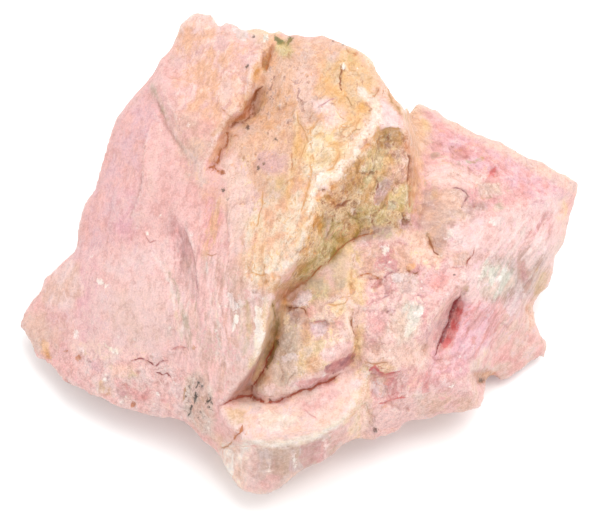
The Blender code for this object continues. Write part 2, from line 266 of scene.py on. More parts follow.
def depth_inside(spots, outline):
    """How deep each spot lies inside a closed outline, below 0 outside it."""
    crossed = np.zeros(len(spots), dtype=bool)
    for start, end in zip(outline, np.roll(outline, -1, axis=0)):
        spans = (start[1] > spots[:, 1]) != (end[1] > spots[:, 1])
        drop = end[1] - start[1] if end[1] != start[1] else 1e-9
        reach = start[0] + (spots[:, 1] - start[1]) * (end[0] - start[0]) / drop
        crossed ^= spans & (spots[:, 0] < reach)
    distance, _, _ = from_line(spots, np.vstack((outline, outline[:1])))
    return np.where(crossed, distance, -distance)


# %% The two brushes


def patch(spots, path, feather):
    """1 inside the outline, 0 outside it, and a soft edge of twice the feather."""
    cover = np.zeros(len(spots))
    outline = corners(path)
    close = near(spots, outline, feather)
    cover[close] = eased(depth_inside(spots[close], outline), -feather, feather)
    return cover


def stroke(spots, path, width, feather):
    """1 on a line of that full width, with soft edges, and both ends tapered."""
    cover = np.zeros(len(spots))
    close, distance, _, along = beside(spots, path, width / 2 + feather)
    thinned = distance / tapered(along, quickness=6, least=0.35)
    cover[close] = 1 - eased(thinned, width / 2 - feather, width / 2 + feather)
    return cover


# %% [markdown]
# ## Breaks that can be seen from a step away
#
# Broken zoisite parts along cleavage, so its skin is made of thin flakes with sharp rims, cracks, and
# small pits where grains fell out. They could be sculpted by hand, but a list of named marks stays
# readable and can be changed. Widths, heights and depths are in tenths of a millimetre, pushed along the
# normals.

# %% Cracks: width, depth, stain and path
CRACKS = {
    "main_crack_top": (1.0, 1.2, "copper", "272,45 270,53 268,62 265,73"),
    "main_crack": (1.5, 1.0, "rust", "266,84 258,92 256,100 254,108 253,113 248,119 243,123 236,124 230,128 "
        "224,130"),
    "main_crack_low": (1.6, 1.0, "russet", "230,124 228,132 227,140 225,146 221,150 219,156 217,162 213,166 "
        "204,172"),
    "main_crack_end": (1.3, 1.0, "copper", "211,162 216,169 226,174"),
    "flake_line": (0.9, 0.5, "amber", "220,108 224,112 228,116 232,118"),
    "cleft_top": (1.1, 1.0, "moss", "273,299 275,312 277,324 275,337"),
    "cleft": (1.5, 0.8, "sienna", "275,338 272,350 267,360 263,370 257,378 253,386 251,396"),
    "bottom_crack": (1.7, 1.6, "sienna", "213,406 226,404 232,400 238,397 246,395 252,395 257,399 264,401 "
        "272,401 280,400 291,396 303,391 313,389 322,383 333,378 346,371"),
    "prow_crack": (2.2, 1.4, "copper", "243,424 241,430 237,434 233,440"),
    "prow_crack_low": (1.0, 0.8, "amber", "233,440 228,446 220,449"),
    "ochre_crack": (1.3, 0.8, "rust", "341,64 341,72 339,78 341,81 340,87 343,92"),
    "ochre_crack_foot": (1.2, 0.7, "umber", "345,95 348,99 351,104 356,110"),
    "rim_crack": (1.1, 0.7, "umber", "378,76 382,80 385,86 387,95 391,103 396,110 399,118"),
    "slit": (1.9, 1.0, "wine", "463,289 459,296 454,303 451,311 448,322 443,332 439,342 433,358"),
    "thread_a": (1.3, 0.2, "honey", "297,112 299,124 306,134 307,141 303,149 300,160"),
    "thread_b": (1.1, 0.2, "honey", "311,128 310,140 312,152 313,166"),
    "thread_c": (1.8, 0.2, "ochre", "326,147 338,145 345,142"),
    "thread_d": (1.4, 0.2, "honey", "339,149 338,158 333,168 325,172"),
    "thread_e": (1.0, 0.2, "amber", "292,152 293,164 291,174"),
    "thread_f": (1.1, 0.2, "honey", "263,188 262,205 258,222 252,236"),
    "thread_i": (1.5, 0.2, "honey", "308,158 311,170 309,184 305,200 300,214"),
    "thread_j": (1.2, 0.2, "honey", "322,112 318,122 311,130 309,142"),
    "thread_k": (1.3, 0.2, "ochre", "352,118 345,124 336,128 328,136"),
    "thread_l": (1.2, 0.2, "honey", "362,118 356,124 352,133 345,138"),
    "thread_g": (1.0, 0.2, "amber", "232,137 236,134 239,137"),
    "thread_h": (1.2, 0.2, "honey", "246,262 252,272 262,276 270,274"),
    "ledge_crack": (0.8, 0.4, "rose", "303,408 310,414 319,422"),
    "valley": (1.3, 0.4, "russet", "288,296 299,287 311,277 323,266 334,255 347,242 360,236 378,231"),
    "block_back": (1.5, 0.7, "rust", "353,311 351,318 351,324 354,334"),
    "block_back_low": (0.7, 0.5, "umber", "353,331 358,340 354,352 350,364"),
    "block_seam": (1.3, 0.6, "rust", "284,306 292,308 298,307 304,309 308,318"),
    "block_step": (0.8, 0.4, "honey", "325,304 335,306 344,303 347,298 338,298"),
    "plate_edge": (0.8, 0.4, "brick", "312,322 321,321 330,321"),
    "block_tick": (0.8, 0.45, "slate", "294,373 289,378 287,387"),
    "hollow_brow": (1.2, 0.6, "umber", "380,134 386,130 394,129 402,129"),
    "hollow_brow_low": (0.9, 0.45, "umber", "379,147 386,142 394,141 401,141"),
    "far_edge_crack": (2.6, 1.0, "rust", "410,154 411,164 410,174 409,184"),
    "far_edge_low": (0.9, 0.5, "amber", "411,184 412,196 412,207 414,212"),
    "hollow_seam": (0.9, 0.45, "rust", "333,207 338,206 344,202 352,201"),
    "hollow_seam_low": (0.9, 0.45, "moss", "346,211 350,218 358,220"),
    "hollow_seam_far": (0.7, 0.35, "umber", "390,196 384,204 377,212"),
    "ochre_crack_top": (0.9, 0.4, "amber", "344,50 349,54 356,56"),
    "ochre_crack_side": (0.8, 0.4, "honey", "348,62 350,71 357,72"),
    "ochre_crack_far": (1.0, 0.45, "amber", "377,87 376,94 373,98 366,97"),
    "ochre_crack_low": (0.9, 0.4, "rust", "364,103 369,107 371,112"),
    "ochre_net_a": (0.8, 0.35, "honey", "339,127 349,127 356,121"),
    "ochre_net_b": (0.7, 0.3, "umber", "351,134 356,130 361,130"),
    "ochre_net_c": (0.7, 0.3, "honey", "333,158 338,148 347,142"),
    "lilac_crack": (1.0, 0.4, "plum", "337,97 329,100 324,105 317,109"),
    "facet_line": (1.0, 0.4, "brick", "370,289 374,283 380,280 388,275"),
    "facet_brow": (1.1, 0.4, "copper", "355,277 361,275 368,273 376,277 382,279"),
    "facet_brow_far": (1.2, 0.4, "mulberry", "379,282 384,278 389,274 397,270 401,266"),
    "lilac_foot": (1.1, 0.4, "plum", "382,298 386,297 390,295"),
    "petal_arc": (1.0, 0.4, "mulberry", "416,295 420,294 424,297"),
    "petal_dash": (1.2, 0.4, "mulberry", "386,312 390,310 395,311"),
    "orange_step": (1.3, 0.5, "rust", "406,265 408,271 415,274 419,271"),
    "facet_foot": (0.6, 0.3, "brick", "450,267 458,268 466,267"),
    "crease": (0.9, 0.45, "sienna", "475,246 473,254 468,261 466,268"),
    "gully": (1.2, 0.5, "rust", "428,236 431,244 434,251 440,254"),
    "slit_foot": (1.0, 0.5, "brick", "431,359 441,360 449,359 458,353"),
    "ledge_line": (1.1, 0.5, "amber", "365,362 372,364 389,362"),
    "ledge_line_low": (1.7, 0.9, "crimson", "368,372 374,367 379,371 385,376 392,375 402,370"),
    "fold_line": (1.2, 0.5, "crimson", "378,405 386,402 394,400 407,397"),
    "foot_crack": (0.9, 0.7, "wine", "130,361 140,359 148,361 155,367 160,363 170,360"),
    "foot_crack_low": (0.8, 0.6, "wine", "153,371 162,375 168,373 172,379"),
    "foot_crack_end": (1.2, 0.6, "brick", "171,350 178,347 186,349"),
    "speck_a": (1.3, 0.3, "soot", "200,377 198,383 196,389"),
    "speck_b": (1.5, 0.3, "soot", "196,391 197,397 194,404"),
    "speck_c": (1.2, 0.3, "soot", "191,404 190,411 188,418"),
    "speck_d": (1.2, 0.3, "soot", "208,393 210,399 207,404"),
    "speck_e": (0.9, 0.3, "umber", "186,386 184,394 182,404"),
    "speck_f": (1.1, 0.3, "umber", "202,396 204,402"),
    "lens_edge": (0.9, 0.3, "plum", "180,222 187,236 192,250 196,266 198,286 199,302"),
    "rose_tick": (0.8, 0.4, "brick", "143,232 150,242 157,240"),
    "peach_tick": (0.9, 0.45, "amber", "205,253 211,256 217,253"),
    "arc": (1.0, 0.45, "mulberry", "451,187 459,188 466,191 468,197 464,203 461,210"),
}
CRACK_SPREAD = 1.2
CRACK_LIP = 1.6


def crack_depth(spots):
    """How deep the cracks cut, with lips that slope down to them from a little way off."""
    depth = np.zeros(len(spots))
    for width, deep, _, path in CRACKS.values():
        reach = CRACK_SPREAD * width + CRACK_LIP
        close, distance, _, along = beside(spots, path, reach)
        cut = deep * tapered(along, quickness=5, least=0.2) * (1 - eased(distance, 0, reach))
        depth[close] = np.maximum(depth[close], cut)
    return depth


# %% Ledges: height, how far back it fades, and a path with the higher side on a walker's right hand
LEDGES = {
    "pale_fold": (2.2, 16, "120,236 134,212 142,185 143,158 147,135 153,118"),
    "groove_side": (1.7, 9, "192,164 185,151 177,140 169,128 165,115 159,103 156,94 151,83"),
    "lens_rim": (1.6, 10, "199,302 198,286 196,266 192,250 187,236 180,222"),
    "pillar_fold": (1.6, 20, "226,300 229,262 229,230 227,200 222,176"),
    "ochre_step": (1.5, 9, "341,60 340,76 342,88 348,99 358,110"),
    "lilac_step": (1.2, 7, "308,112 318,109 326,103 337,96"),
    "crest_step": (1.5, 9, "346,124 338,134 331,150 318,160 306,176"),
    "pillar_step": (1.1, 12, "300,100 297,128 300,150 292,182 288,214"),
    "block_rim": (1.2, 7, "352,322 350,310 347,300 340,299 330,303 318,300"),
    "block_plate": (1.0, 7, "338,322 321,320 303,319 290,322"),
    "block_low_plate": (1.1, 8, "283,356 296,352 300,366 312,362 326,352"),
    "lane": (1.1, 8, "345,244 352,262 349,290 356,320 353,345 362,366"),
    "slab_step": (1.6, 10, "410,368 398,371 386,377 376,368 366,372"),
    "slab_back": (1.4, 10, "432,276 410,282 396,280 380,276 366,286"),
    "rose_step": (1.5, 10, "426,394 407,399 391,402 376,402"),
    "corner_step": (1.3, 10, "474,200 461,209 448,222 446,234"),
    "top_step": (1.5, 11, "500,186 482,178 466,166 446,160 428,162"),
    "back_step": (1.4, 12, "534,192 506,178 488,160 470,148 440,138"),
    "foot_step": (1.3, 9, "196,352 176,352 152,362 128,362 104,356"),
    "foot_step_low": (1.3, 9, "188,386 164,384 140,376 112,378 92,372"),
    "ledge_step": (0.9, 9, "244,424 262,420 284,424 304,418 322,406"),
}


def ledge_height(spots):
    height = np.zeros(len(spots))
    for stands_out, fade, path in LEDGES.values():
        close, distance, side, along = beside(spots, path, 3 * fade)
        ends = tapered(along, quickness=4, least=0)
        height[close] += stands_out * ends * (side > 0) * np.exp(-distance / fade)
    return height


# %% Flakes: how far the flake stands out, how sharp its rim is, and its outline
FLAKES = {
    "bright_flake": (1.6, 1.6, "226,71 236,76 243,84 240,98 236,112 229,118 219,108 217,94 221,82"),
    "crack_wall": (1.2, 2.0, "250,56 263,50 262,76 254,98 245,100 247,76"),
    "dark_lens": (-1.2, 2.5, "173,221 182,223 190,240 196,264 186,268 173,250 167,232"),
    "pale_wedge": (1.0, 1.2, "160,247 177,261 187,281 178,282 165,266"),
    "cream_lobe": (1.4, 1.2, "325,301 340,296 350,302 353,320 345,334 331,326 323,313"),
    "mauve_plate": (-1.0, 1.0, "303,320 331,321 326,334 306,333"),
    "grey_boss": (-0.9, 1.2, "284,352 296,350 300,368 294,384 282,378"),
    "lilac_plate": (1.0, 1.0, "290,300 303,292 312,298 308,309 295,311"),
    "pink_hollow": (-1.6, 1.2, "371,289 381,280 393,284 392,296 379,300"),
    "white_dot": (1.4, 1.0, "380,246 388,246 389,252 382,254"),
    "pale_slab": (0.9, 1.5, "392,301 414,300 419,326 406,344 391,334"),
    "taupe_facet": (-1.2, 1.2, "432,240 446,238 449,255 438,259"),
    "lane_step": (1.2, 1.2, "407,240 424,238 431,254 416,262 404,254"),
    "grey_hollow": (-1.6, 2.0, "430,140 443,142 447,154 434,159"),
    "mauve_hollow": (-1.3, 2.0, "448,145 468,145 471,158 452,160"),
    "red_hollow": (-1.2, 1.5, "488,166 499,168 498,177 489,176"),
    "grey_slab": (0.8, 1.2, "480,185 497,184 502,194 484,197"),
    "crescent": (1.0, 1.2, "452,189 466,191 468,198 462,206 450,202"),
    "white_step": (1.4, 1.2, "446,229 458,226 462,234 450,239"),
    "lump_recess": (-2.4, 2.0, "473,372 485,369 499,374 494,384 478,384"),
    "rose_hollow": (-1.3, 1.5, "372,375 386,372 403,375 404,396 388,404 374,396"),
    "shelf": (0.9, 1.5, "310,392 332,382 348,374 352,384 336,398 316,404"),
    "olive_boss": (1.8, 1.5, "356,200 372,196 380,208 370,219 356,216"),
    "honey_boss": (1.6, 1.5, "328,190 342,184 346,198 334,212 324,206"),
    "yellow_boss": (1.6, 1.5, "394,186 408,184 410,200 398,206"),
    "brow_boss": (1.4, 1.5, "380,134 398,134 406,146 396,156 382,152"),
}


def flake_height(spots):
    height = np.zeros(len(spots))
    for stands_out, rim, path in FLAKES.values():
        height += stands_out * patch(spots, path, rim)
    return height


# %% [markdown]
# ## Chips, and hollows that broken grains fill
#
# Chips break off sharp edges only. To find those, the mesh is worn down for a few rounds, each vertex
# going to the mean of its neighbours: where the worn skin lies far below the real one, the real one is
# sharp. The same wearing fills clefts. There the skin is drawn part of the way to the worn one, as grit
# would lie in it.

# %% Sharp edges, where chips were bitten out: the share that is missing, and the outline
BITE = 4.0
BITE_WIDTH = 1.7 * MM
BITE_FEATHER = 8
SHARP = (0.35, 1.6)
BITTEN = {
    "crest": (1.0, "362,96 386,100 390,128 368,152 344,176 326,196 316,240 296,276 276,280 292,236 304,196 "
        "318,172 346,146 360,120"),
    "ledge rim": (0.45, "240,428 300,430 340,404 362,380 370,400 340,434 296,452 246,452"),
    "block rim": (0.4, "318,340 356,330 362,352 330,378 300,396 310,370"),
    "right block": (0.5, "440,220 480,205 560,190 560,215 480,240 446,250"),
    "slit rim": (0.35, "476,276 474,300 440,350 424,346 452,290"),
}


def neighbour_mean(values, edges):
    """The mean of each vertex's neighbours, for a vector each."""
    total = np.zeros_like(values)
    count = np.bincount(edges.ravel(), minlength=len(values)).astype(float)
    for column in range(values.shape[1]):
        total[:, column] = np.bincount(edges[:, 0], values[edges[:, 1], column], len(values))
        total[:, column] += np.bincount(edges[:, 1], values[edges[:, 0], column], len(values))
    return total / count[:, None]


def worn_down(here, rounds):
    edges = read(stone.data, "vertices", 2, "edges").astype(int)
    for _ in range(rounds):
        here = neighbour_mean(here, edges)
    return here


def hollowness(rounds):
    """How far each vertex lies below its wider surroundings, in tenths of a millimetre."""
    here = read(stone.data, "co", 3)
    return ((worn_down(here, rounds) - here) * read(stone.data, "normal", 3)).sum(axis=1) / TENTH


sharp = eased(-hollowness(rounds=14), *SHARP)
bitten = np.zeros(len(flat))
for strength, path in BITTEN.values():
    bitten = np.maximum(bitten, strength * patch(flat, path, BITE_FEATHER) * seen * sharp)
print("share of the skin where chips may be missing:", round(float((bitten > 0.2).mean()), 3))

# %% Fill the hollows: the share that is filled, and the outline
FILLS = {
    "slit": (0.65, "472,280 474,300 462,330 444,358 430,356 436,330 450,296 460,280"),
    "gap in the main crack": (0.8, "256,70 274,68 274,84 262,90 252,88"),
    "cleft": (0.55, "279,298 290,302 284,326 278,350 266,372 258,376 268,350 273,322"),
    "beside the pillar": (0.7, "408,120 420,116 425,150 424,200 415,224 409,216 409,150"),
    "rear rim": (0.35, "432,98 470,116 520,140 566,166 560,184 500,158 436,126"),
}
FILL_ROUNDS = 45
FILL_FEATHER = 4
UNDERSIDE = (-0.8, -0.3)
fill = np.zeros(len(places))
for strength, path in FILLS.values():
    fill = np.maximum(fill, strength * eased(facing, *UNDERSIDE) * patch(flat, path, FILL_FEATHER))
places = places + fill[:, None] * (worn_down(places, FILL_ROUNDS) - places)
print("vertices that a fill moves:", int((fill > 0).sum()))

# %% [markdown]
# ## Ribs, pits and the last nudges
#
# A rib is a rounded swelling along a line, and a pit is a round dent. A nudge slides a small part of the
# skin sideways, where the outline of the faceted solid is a little too full or too hollow.

# %% Ribs: width, height and path
RIBS = {
    "sliver": (1.8, 1.3, "228,298 232,308 236,322 236,332"),
    "cream_rim": (3.0, 0.8, "268,296 266,312 263,330 259,350 252,368"),
    "left_fold": (6.0, 0.6, "164,92 173,110 182,128 195,146"),
    "fibre_a": (2.5, 0.7, "170,268 180,300 190,332 196,360"),
    "fibre_b": (3.0, 0.9, "214,262 218,300 222,340 222,378"),
    "fibre_c": (2.0, 0.8, "243,224 248,250 246,284"),
    "fibre_d": (2.2, 0.8, "256,214 258,240 254,270 256,292"),
    "front_rib_a": (4.0, 1.3, "531,232 512,262 497,290 488,318"),
    "front_rib_b": (4.0, 1.2, "548,246 530,276 512,304 498,336"),
    "front_rib_c": (4.0, 1.2, "514,224 496,246 482,268"),
}
RIB_STEEPNESS = 1.6


def rib_height(spots):
    height = np.zeros(len(spots))
    for width, stands_out, path in RIBS.values():
        close, distance, _, along = beside(spots, path, 2 * width)
        ends = tapered(along, quickness=4, least=0.1)
        swelling = stands_out * ends * np.exp(-((distance / (width / RIB_STEEPNESS)) ** 2))
        height[close] = np.maximum(height[close], swelling)
    return height


# %% Pits: across, down, radius and depth
PITS = {
    "left_pit": (65, 351, 3.0, 0.7), "left_pit_far": (78, 357, 3.5, 0.7), "foot_pit": (138, 372, 3.0, 1.8),
    "rim_pit": (125, 385, 3.0, 1.6), "orange_pit": (132, 405, 3.0, 0.8),
    "foot_pit_low": (142, 397, 3.0, 1.2), "recess": (286, 308, 4.5, 3.0), "edge_pit": (375, 429, 2.5, 2.0),
    "crack_pit": (219, 171, 2.5, 1.8), "hollow_pit": (404, 222, 4.0, 1.8),
    "olive_pit": (350, 226, 5.0, 1.8), "slit_head": (463, 291, 4.0, 1.6),
}
PIT_FLOOR = 0.2
PIT_RIM = 1.3


def pit_depth(spots):
    depth = np.zeros(len(spots))
    for across, down, radius, deep in PITS.values():
        distance = from_point(spots, across, down)
        depth = np.maximum(depth, deep * (1 - eased(distance, PIT_FLOOR * radius, PIT_RIM * radius)))
    return depth


# %% Nudges: across, down, reach, and the step to the right and down the sheet
NUDGES = {
    "shoulder": (352, 46, 12, 1.0, -2.0), "shoulder, middle": (370, 62, 13, 2.4, -2.4),
    "shoulder, low": (388, 88, 13, 3.0, -1.6), "shoulder foot": (402, 106, 9, 3.5, -2.0),
    "second bump": (229, 27, 8, 0.0, -5.0), "dome, left": (181, 22, 8, -3.2, -1.0),
    "dome, right": (211, 18, 8, 2.5, -3.0), "rear corner": (420, 107, 8, 0.0, -1.8),
    "rear hollow": (469, 131, 6, 1.0, -2.5), "rear hollow, far": (522, 157, 6, 1.0, -2.5),
    "right corner": (577, 184, 9, 1.5, -1.5), "lump tip": (544, 346, 9, 4.5, 0.0),
    "waist": (535, 309, 9, -4.0, 0.0), "notch": (494, 386, 8, -1.0, -8.0),
    "below the notch": (479, 407, 8, 3.0, 1.0), "left edge": (82, 214, 14, -1.6, 0.0),
}


def nudge(points):
    """Slides the skin level with the table, so that the outline moves across and down the sheet."""
    here = on_sheet(points)[:, :2]
    for across, down, reach, right, lower in NUDGES.values():
        share = np.exp(-((from_point(here, across, down) / reach) ** 2))
        points[:, 0] += right * TENTH * share
        points[:, 1] -= lower * TENTH / math.sin(VIEW_ELEVATION) * share


# %% Push the skin
CHIPPED = (-0.05, 0.35)
push = ledge_height(flat) + flake_height(flat) + rib_height(flat) - crack_depth(flat) - pit_depth(flat)
push *= seen
push -= BITE * bitten * eased(swell(places, BITE_WIDTH, octaves=3, seat=5.7), *CHIPPED)
places += normals * (push * TENTH)[:, None]
nudge(places)
stone.data.vertices.foreach_set("co", places.ravel())
stone.data.update()
print("drawn breaks:", len(CRACKS), "cracks,", len(LEDGES), "ledges,", len(FLAKES), "flakes,",
      len(RIBS), "ribs,", len(PITS), "pits")

# %% [markdown]
# ## How each part of the skin breaks
#
# The left face is satiny and fibrous, the crest and the hollow are sugary, and the right block is chippy.
# Shares of fibre, sugar, plates, rust and soot, stored on the vertices, tell the Geometry Nodes tree and
# the material below how strongly to treat each place. The fibres also need to know which way they run, so
# a place squeezed along the grain is stored with them.

# %% Shares of sugar, plates, rust, soot and fibre: the share, and the outline
FRONT = "222,446 256,442 331,429 366,400 376,440 320,500 222,505"
HOLLOW = "377,129 410,133 414,230 375,234 345,244 320,268 284,296 302,247 316,200 343,175"
BLOCK = "286,300 300,286 345,286 356,345 324,364 297,388 268,384 276,330"
SUGARY = {
    "crest": (0.9, "372,95 384,118 376,140 352,170 322,200 312,240 292,276 262,285 290,240 300,190 306,150 "
        "340,125"),
    "foot": (0.45, "80,350 160,352 215,385 214,450 165,424 90,400"),
    "slabs": (0.5, "340,245 430,240 470,270 430,350 350,370"),
    "block": (0.35, BLOCK),
    "right block": (0.15, "405,100 580,160 560,260 420,240"),
}
PLATY = {
    "pillar": (0.22, "262,36 352,44 380,80 372,110 345,150 312,200 300,250 268,292 244,300 236,250 226,205 "
        "224,165 250,118"),
    "hollow": (0.42, HOLLOW),
    "slabs": (0.26, "345,235 470,230 476,290 440,345 480,372 480,420 345,450 350,380"),
    "block": (0.26, BLOCK),
    "right block": (0.2, "402,100 600,160 560,250 440,240 412,230"),
    "right front": (0.18, "470,240 570,210 560,400 450,380"),
    "foot": (0.26, "20,330 70,345 160,350 215,385 214,450 165,424 40,390"),
}
RUSTY = {
    "peak": (0.35, "172,20 262,34 246,110 220,130 190,110"),
    "pillar": (0.55, "262,36 352,44 384,80 380,130 345,160 312,205 300,250 262,292 240,270 232,205 224,165 "
        "250,118"),
    "hollow": (1.0, HOLLOW),
    "block": (0.4, "284,302 300,288 345,288 358,345 324,368 297,394 255,387"),
    "slabs": (0.35, "345,235 450,230 476,260 440,300 430,366 350,380"),
    "right block": (0.5, "402,100 500,150 500,200 440,240 412,230"),
    "foot": (0.25, "60,345 160,350 215,385 214,450 165,424"),
    "low ledges": (0.35, "365,372 420,366 420,420 360,440"),
}
SOOTY = {
    "speck cluster": (1.0, "184,372 202,370 210,388 214,412 204,424 186,416"),
    "hollow": (0.35, "330,190 400,196 404,226 340,242 318,250"),
    "olive patch": (0.6, "272,34 296,32 294,46 276,50"),
    "peach": (0.16, "244,100 286,90 290,190 220,200"),
    "low ledges": (0.05, "360,400 430,390 430,436 350,440"),
}
FIBROUS = {
    "left face": (0.35, "150,80 200,120 220,260 220,410 150,420 0,340 80,200"),
    "beside the wedge": (1.0, "160,236 226,190 244,300 226,404 186,400 160,330"),
    "wedge": (0.6, "222,176 262,200 290,220 276,290 262,350 224,404 204,300 206,220"),
    "front of the right block": (1.0, "470,230 560,206 552,290 505,345 450,370 452,300"),
    "lump": (0.5, "500,310 545,310 552,350 500,386"),
    "front": (0.7, FRONT),
}
# Each share: its zones, what it is on hidden sides, the least that it is anywhere, and its zones' feather.
SHARES = {
    "fibre_share": (FIBROUS, 0.5, 0.15, 14),
    "sugar_share": (SUGARY, 0.35, 0, 9),
    "plate_share": (PLATY, 0.8, 0.14, 9),
    "rust_share": (RUSTY, 0.35, 0, 9),
    "soot_share": (SOOTY, 0.10, 0, 4),
}


def spread(zones, on_hidden, least, feather):
    """By zones where the sheet sees a vertex, on_hidden where it doesn't, and never under least."""
    share = np.zeros(len(flat))
    for strength, path in zones.values():
        share = np.maximum(share, strength * patch(flat, path, feather))
    return np.maximum(share * seen + on_hidden * hidden, least)


def store(name, values, kind="FLOAT"):
    """Puts one value, or one vector or colour, on each vertex."""
    if kind == "FLOAT_COLOR":
        values = np.column_stack((values, np.ones(len(values))))
    layer = stone.data.attributes.new(name, kind, "POINT")
    slot = {"FLOAT": "value", "FLOAT_VECTOR": "vector", "FLOAT_COLOR": "color"}[kind]
    layer.data.foreach_set(slot, np.ascontiguousarray(values, dtype=np.float32).ravel())


for name, settings in SHARES.items():
    share = spread(*settings)
    store(name, share)
    print(name, "on average:", round(float(share.mean()), 2))

# %% Which way the grain runs
GRAIN_TURN = (400, 470)
FRONT_FEATHER = 6
FIBRE_STRETCH = 7.0
PLATE_STRETCH = 1.35


def direction(across, down, height):
    """A unit direction, given on the sheet."""
    return np.array((RIGHT * across - UP * down + TO_EYE * height).normalized())


def squeezed(along, stretch):
    """The places, drawn together along a direction, so that what is read there comes out stretched."""
    return places - (places * along).sum(axis=1)[:, None] * along * (1 - 1 / stretch)


LEFT_GRAIN = direction(-0.12, 1.0, 0.05)
RIGHT_GRAIN = direction(-0.62, 0.76, 0.15)
FRONT_GRAIN = direction(0.0, 0.5, -0.87)
turned = eased(sheet[:, 0], *GRAIN_TURN)[:, None]
grain = LEFT_GRAIN * (1 - turned) + RIGHT_GRAIN * turned
in_front = (patch(flat, FRONT, FRONT_FEATHER) * seen)[:, None]
grain = grain * (1 - in_front) + FRONT_GRAIN * in_front
grain /= np.linalg.norm(grain, axis=1)[:, None]
store("fibre_place", squeezed(grain, FIBRE_STRETCH), "FLOAT_VECTOR")
store("plate_place", squeezed(grain, PLATE_STRETCH), "FLOAT_VECTOR")
print("share of the skin with the right block's grain:", round(float(turned.mean()), 2))

# %% [markdown]
# ## Where the break is held back
#
# At the rim of the view the break would fray the drawn outline, so it is held back there, as it is on the
# flat base. The walls of two clefts also turn edge-on to the eye, but lie within the outline and are let
# go.

# %% The share that may move
RIM_BREADTH = 0.35
BEHIND_RIM = 1.0
RIM_CALM = 0.93
LEVEL = (0.985, 0.998)
NEAR_TABLE = 0.12 * MM
WALL_FREE = 0.8
WALL_FEATHER = 3
WALL_FACING = -0.3
INNER_WALLS = {
    "main crack": "272,46 270,80 256,112 236,130 218,166 206,172 220,128 250,84",
    "wedge": "278,296 290,298 280,340 262,388 232,404 250,366 266,330",
}
resting = eased(-normals[:, 2], *LEVEL) * (places[:, 2] < NEAR_TABLE)
rim_of_view = np.exp(-((facing / np.where(facing > 0, RIM_BREADTH, BEHIND_RIM)) ** 2))
for path in INNER_WALLS.values():
    rim_of_view *= 1 - WALL_FREE * patch(flat, path, WALL_FEATHER) * (facing > WALL_FACING)
free = (1 - resting) * (1 - RIM_CALM * rim_of_view)
store("free", free)
print("free to break, on average:", round(float(free.mean()), 2))

# %% [markdown]
# ## Broken mineral, as a Geometry Nodes tree
#
# The fine break follows the surface everywhere, which is what Geometry Nodes are good at: noise is read at
# each vertex and the vertex is set off along its normal. The tree adds up five layers: fibres (noise at
# the squeezed place), sugar (cells, each a grain that stands proud), plates and chips (large and small
# cells, each a face that leans its own way) and terraces (noise cut into steps). The same could be a
# Displace modifier with textures, but that can't be led by vertex shares so simply.

# %% A small kit for building trees


def tree_node(tree, kind, links=(), **settings):
    """A node with its settings, and links as (input, output socket or value)."""
    made = tree.nodes.new(kind)
    for name, value in settings.items():
        setattr(made, name, value)
    for slot, source in dict(links).items():
        if isinstance(source, bpy.types.NodeSocket):
            tree.links.new(source, made.inputs[slot])
        else:
            made.inputs[slot].default_value = source
    return made


def maths(tree, operation, *values):
    return tree_node(tree, "ShaderNodeMath", enumerate(values), operation=operation).outputs[0]


def chain(tree, operation, first, *others):
    """One value made of several, each taken in by a maths node of its own."""
    for other in others:
        first = maths(tree, operation, first, other)
    return first


def new_geometry_tree(name, sizes):
    """A Geometry Nodes tree with a mesh in and out, and a named input for each size."""
    tree = bpy.data.node_groups.new(name, "GeometryNodeTree")
    tree.interface.new_socket("Geometry", in_out="INPUT", socket_type="NodeSocketGeometry")
    for label in sizes:
        tree.interface.new_socket(label, in_out="INPUT", socket_type="NodeSocketFloat")
    tree.interface.new_socket("Geometry", in_out="OUTPUT", socket_type="NodeSocketGeometry")
    return tree, tree.nodes.new("NodeGroupInput").outputs


def end_geometry_tree(tree, geometry, material):
    whole = tree_node(tree, "GeometryNodeRealizeInstances", {0: geometry})
    painted = tree_node(tree, "GeometryNodeSetMaterial", {"Geometry": whole.outputs[0], "Material": material})
    tree_node(tree, "NodeGroupOutput", {0: painted.outputs[0]})


def run_geometry_tree(carrier, tree, sizes):
    """Adds the tree as a modifier, sets its inputs by identifier, and keeps what it makes."""
    grown = carrier.modifiers.new(tree.name, "NODES")
    grown.node_group = tree
    for item in tree.interface.items_tree:
        if item.in_out == "INPUT" and item.name in sizes:
            grown[item.identifier] = float(sizes[item.name])
    keep_modified(carrier)


# %% The tree for the break
BREAK_SIZES = {
    "Fibre width": 0.42 * MM, "Fibre height": 0.07 * MM,
    "Sugar width": 0.60 * MM, "Sugar height": 0.06 * MM,
    "Plate width": 3.0 * MM, "Plate tilt": 0.20,
    "Chip width": 1.1 * MM, "Chip tilt": 0.14,
    "Terrace width": 4.2 * MM, "Terrace levels": 8.0, "Terrace height": 0.16 * MM,
    "Ragged width": 1.1 * MM, "Ragged reach": 0.9 * MM,
}
TERRACE_SCARP = 0.72
SUGAR_LEVEL = 0.45


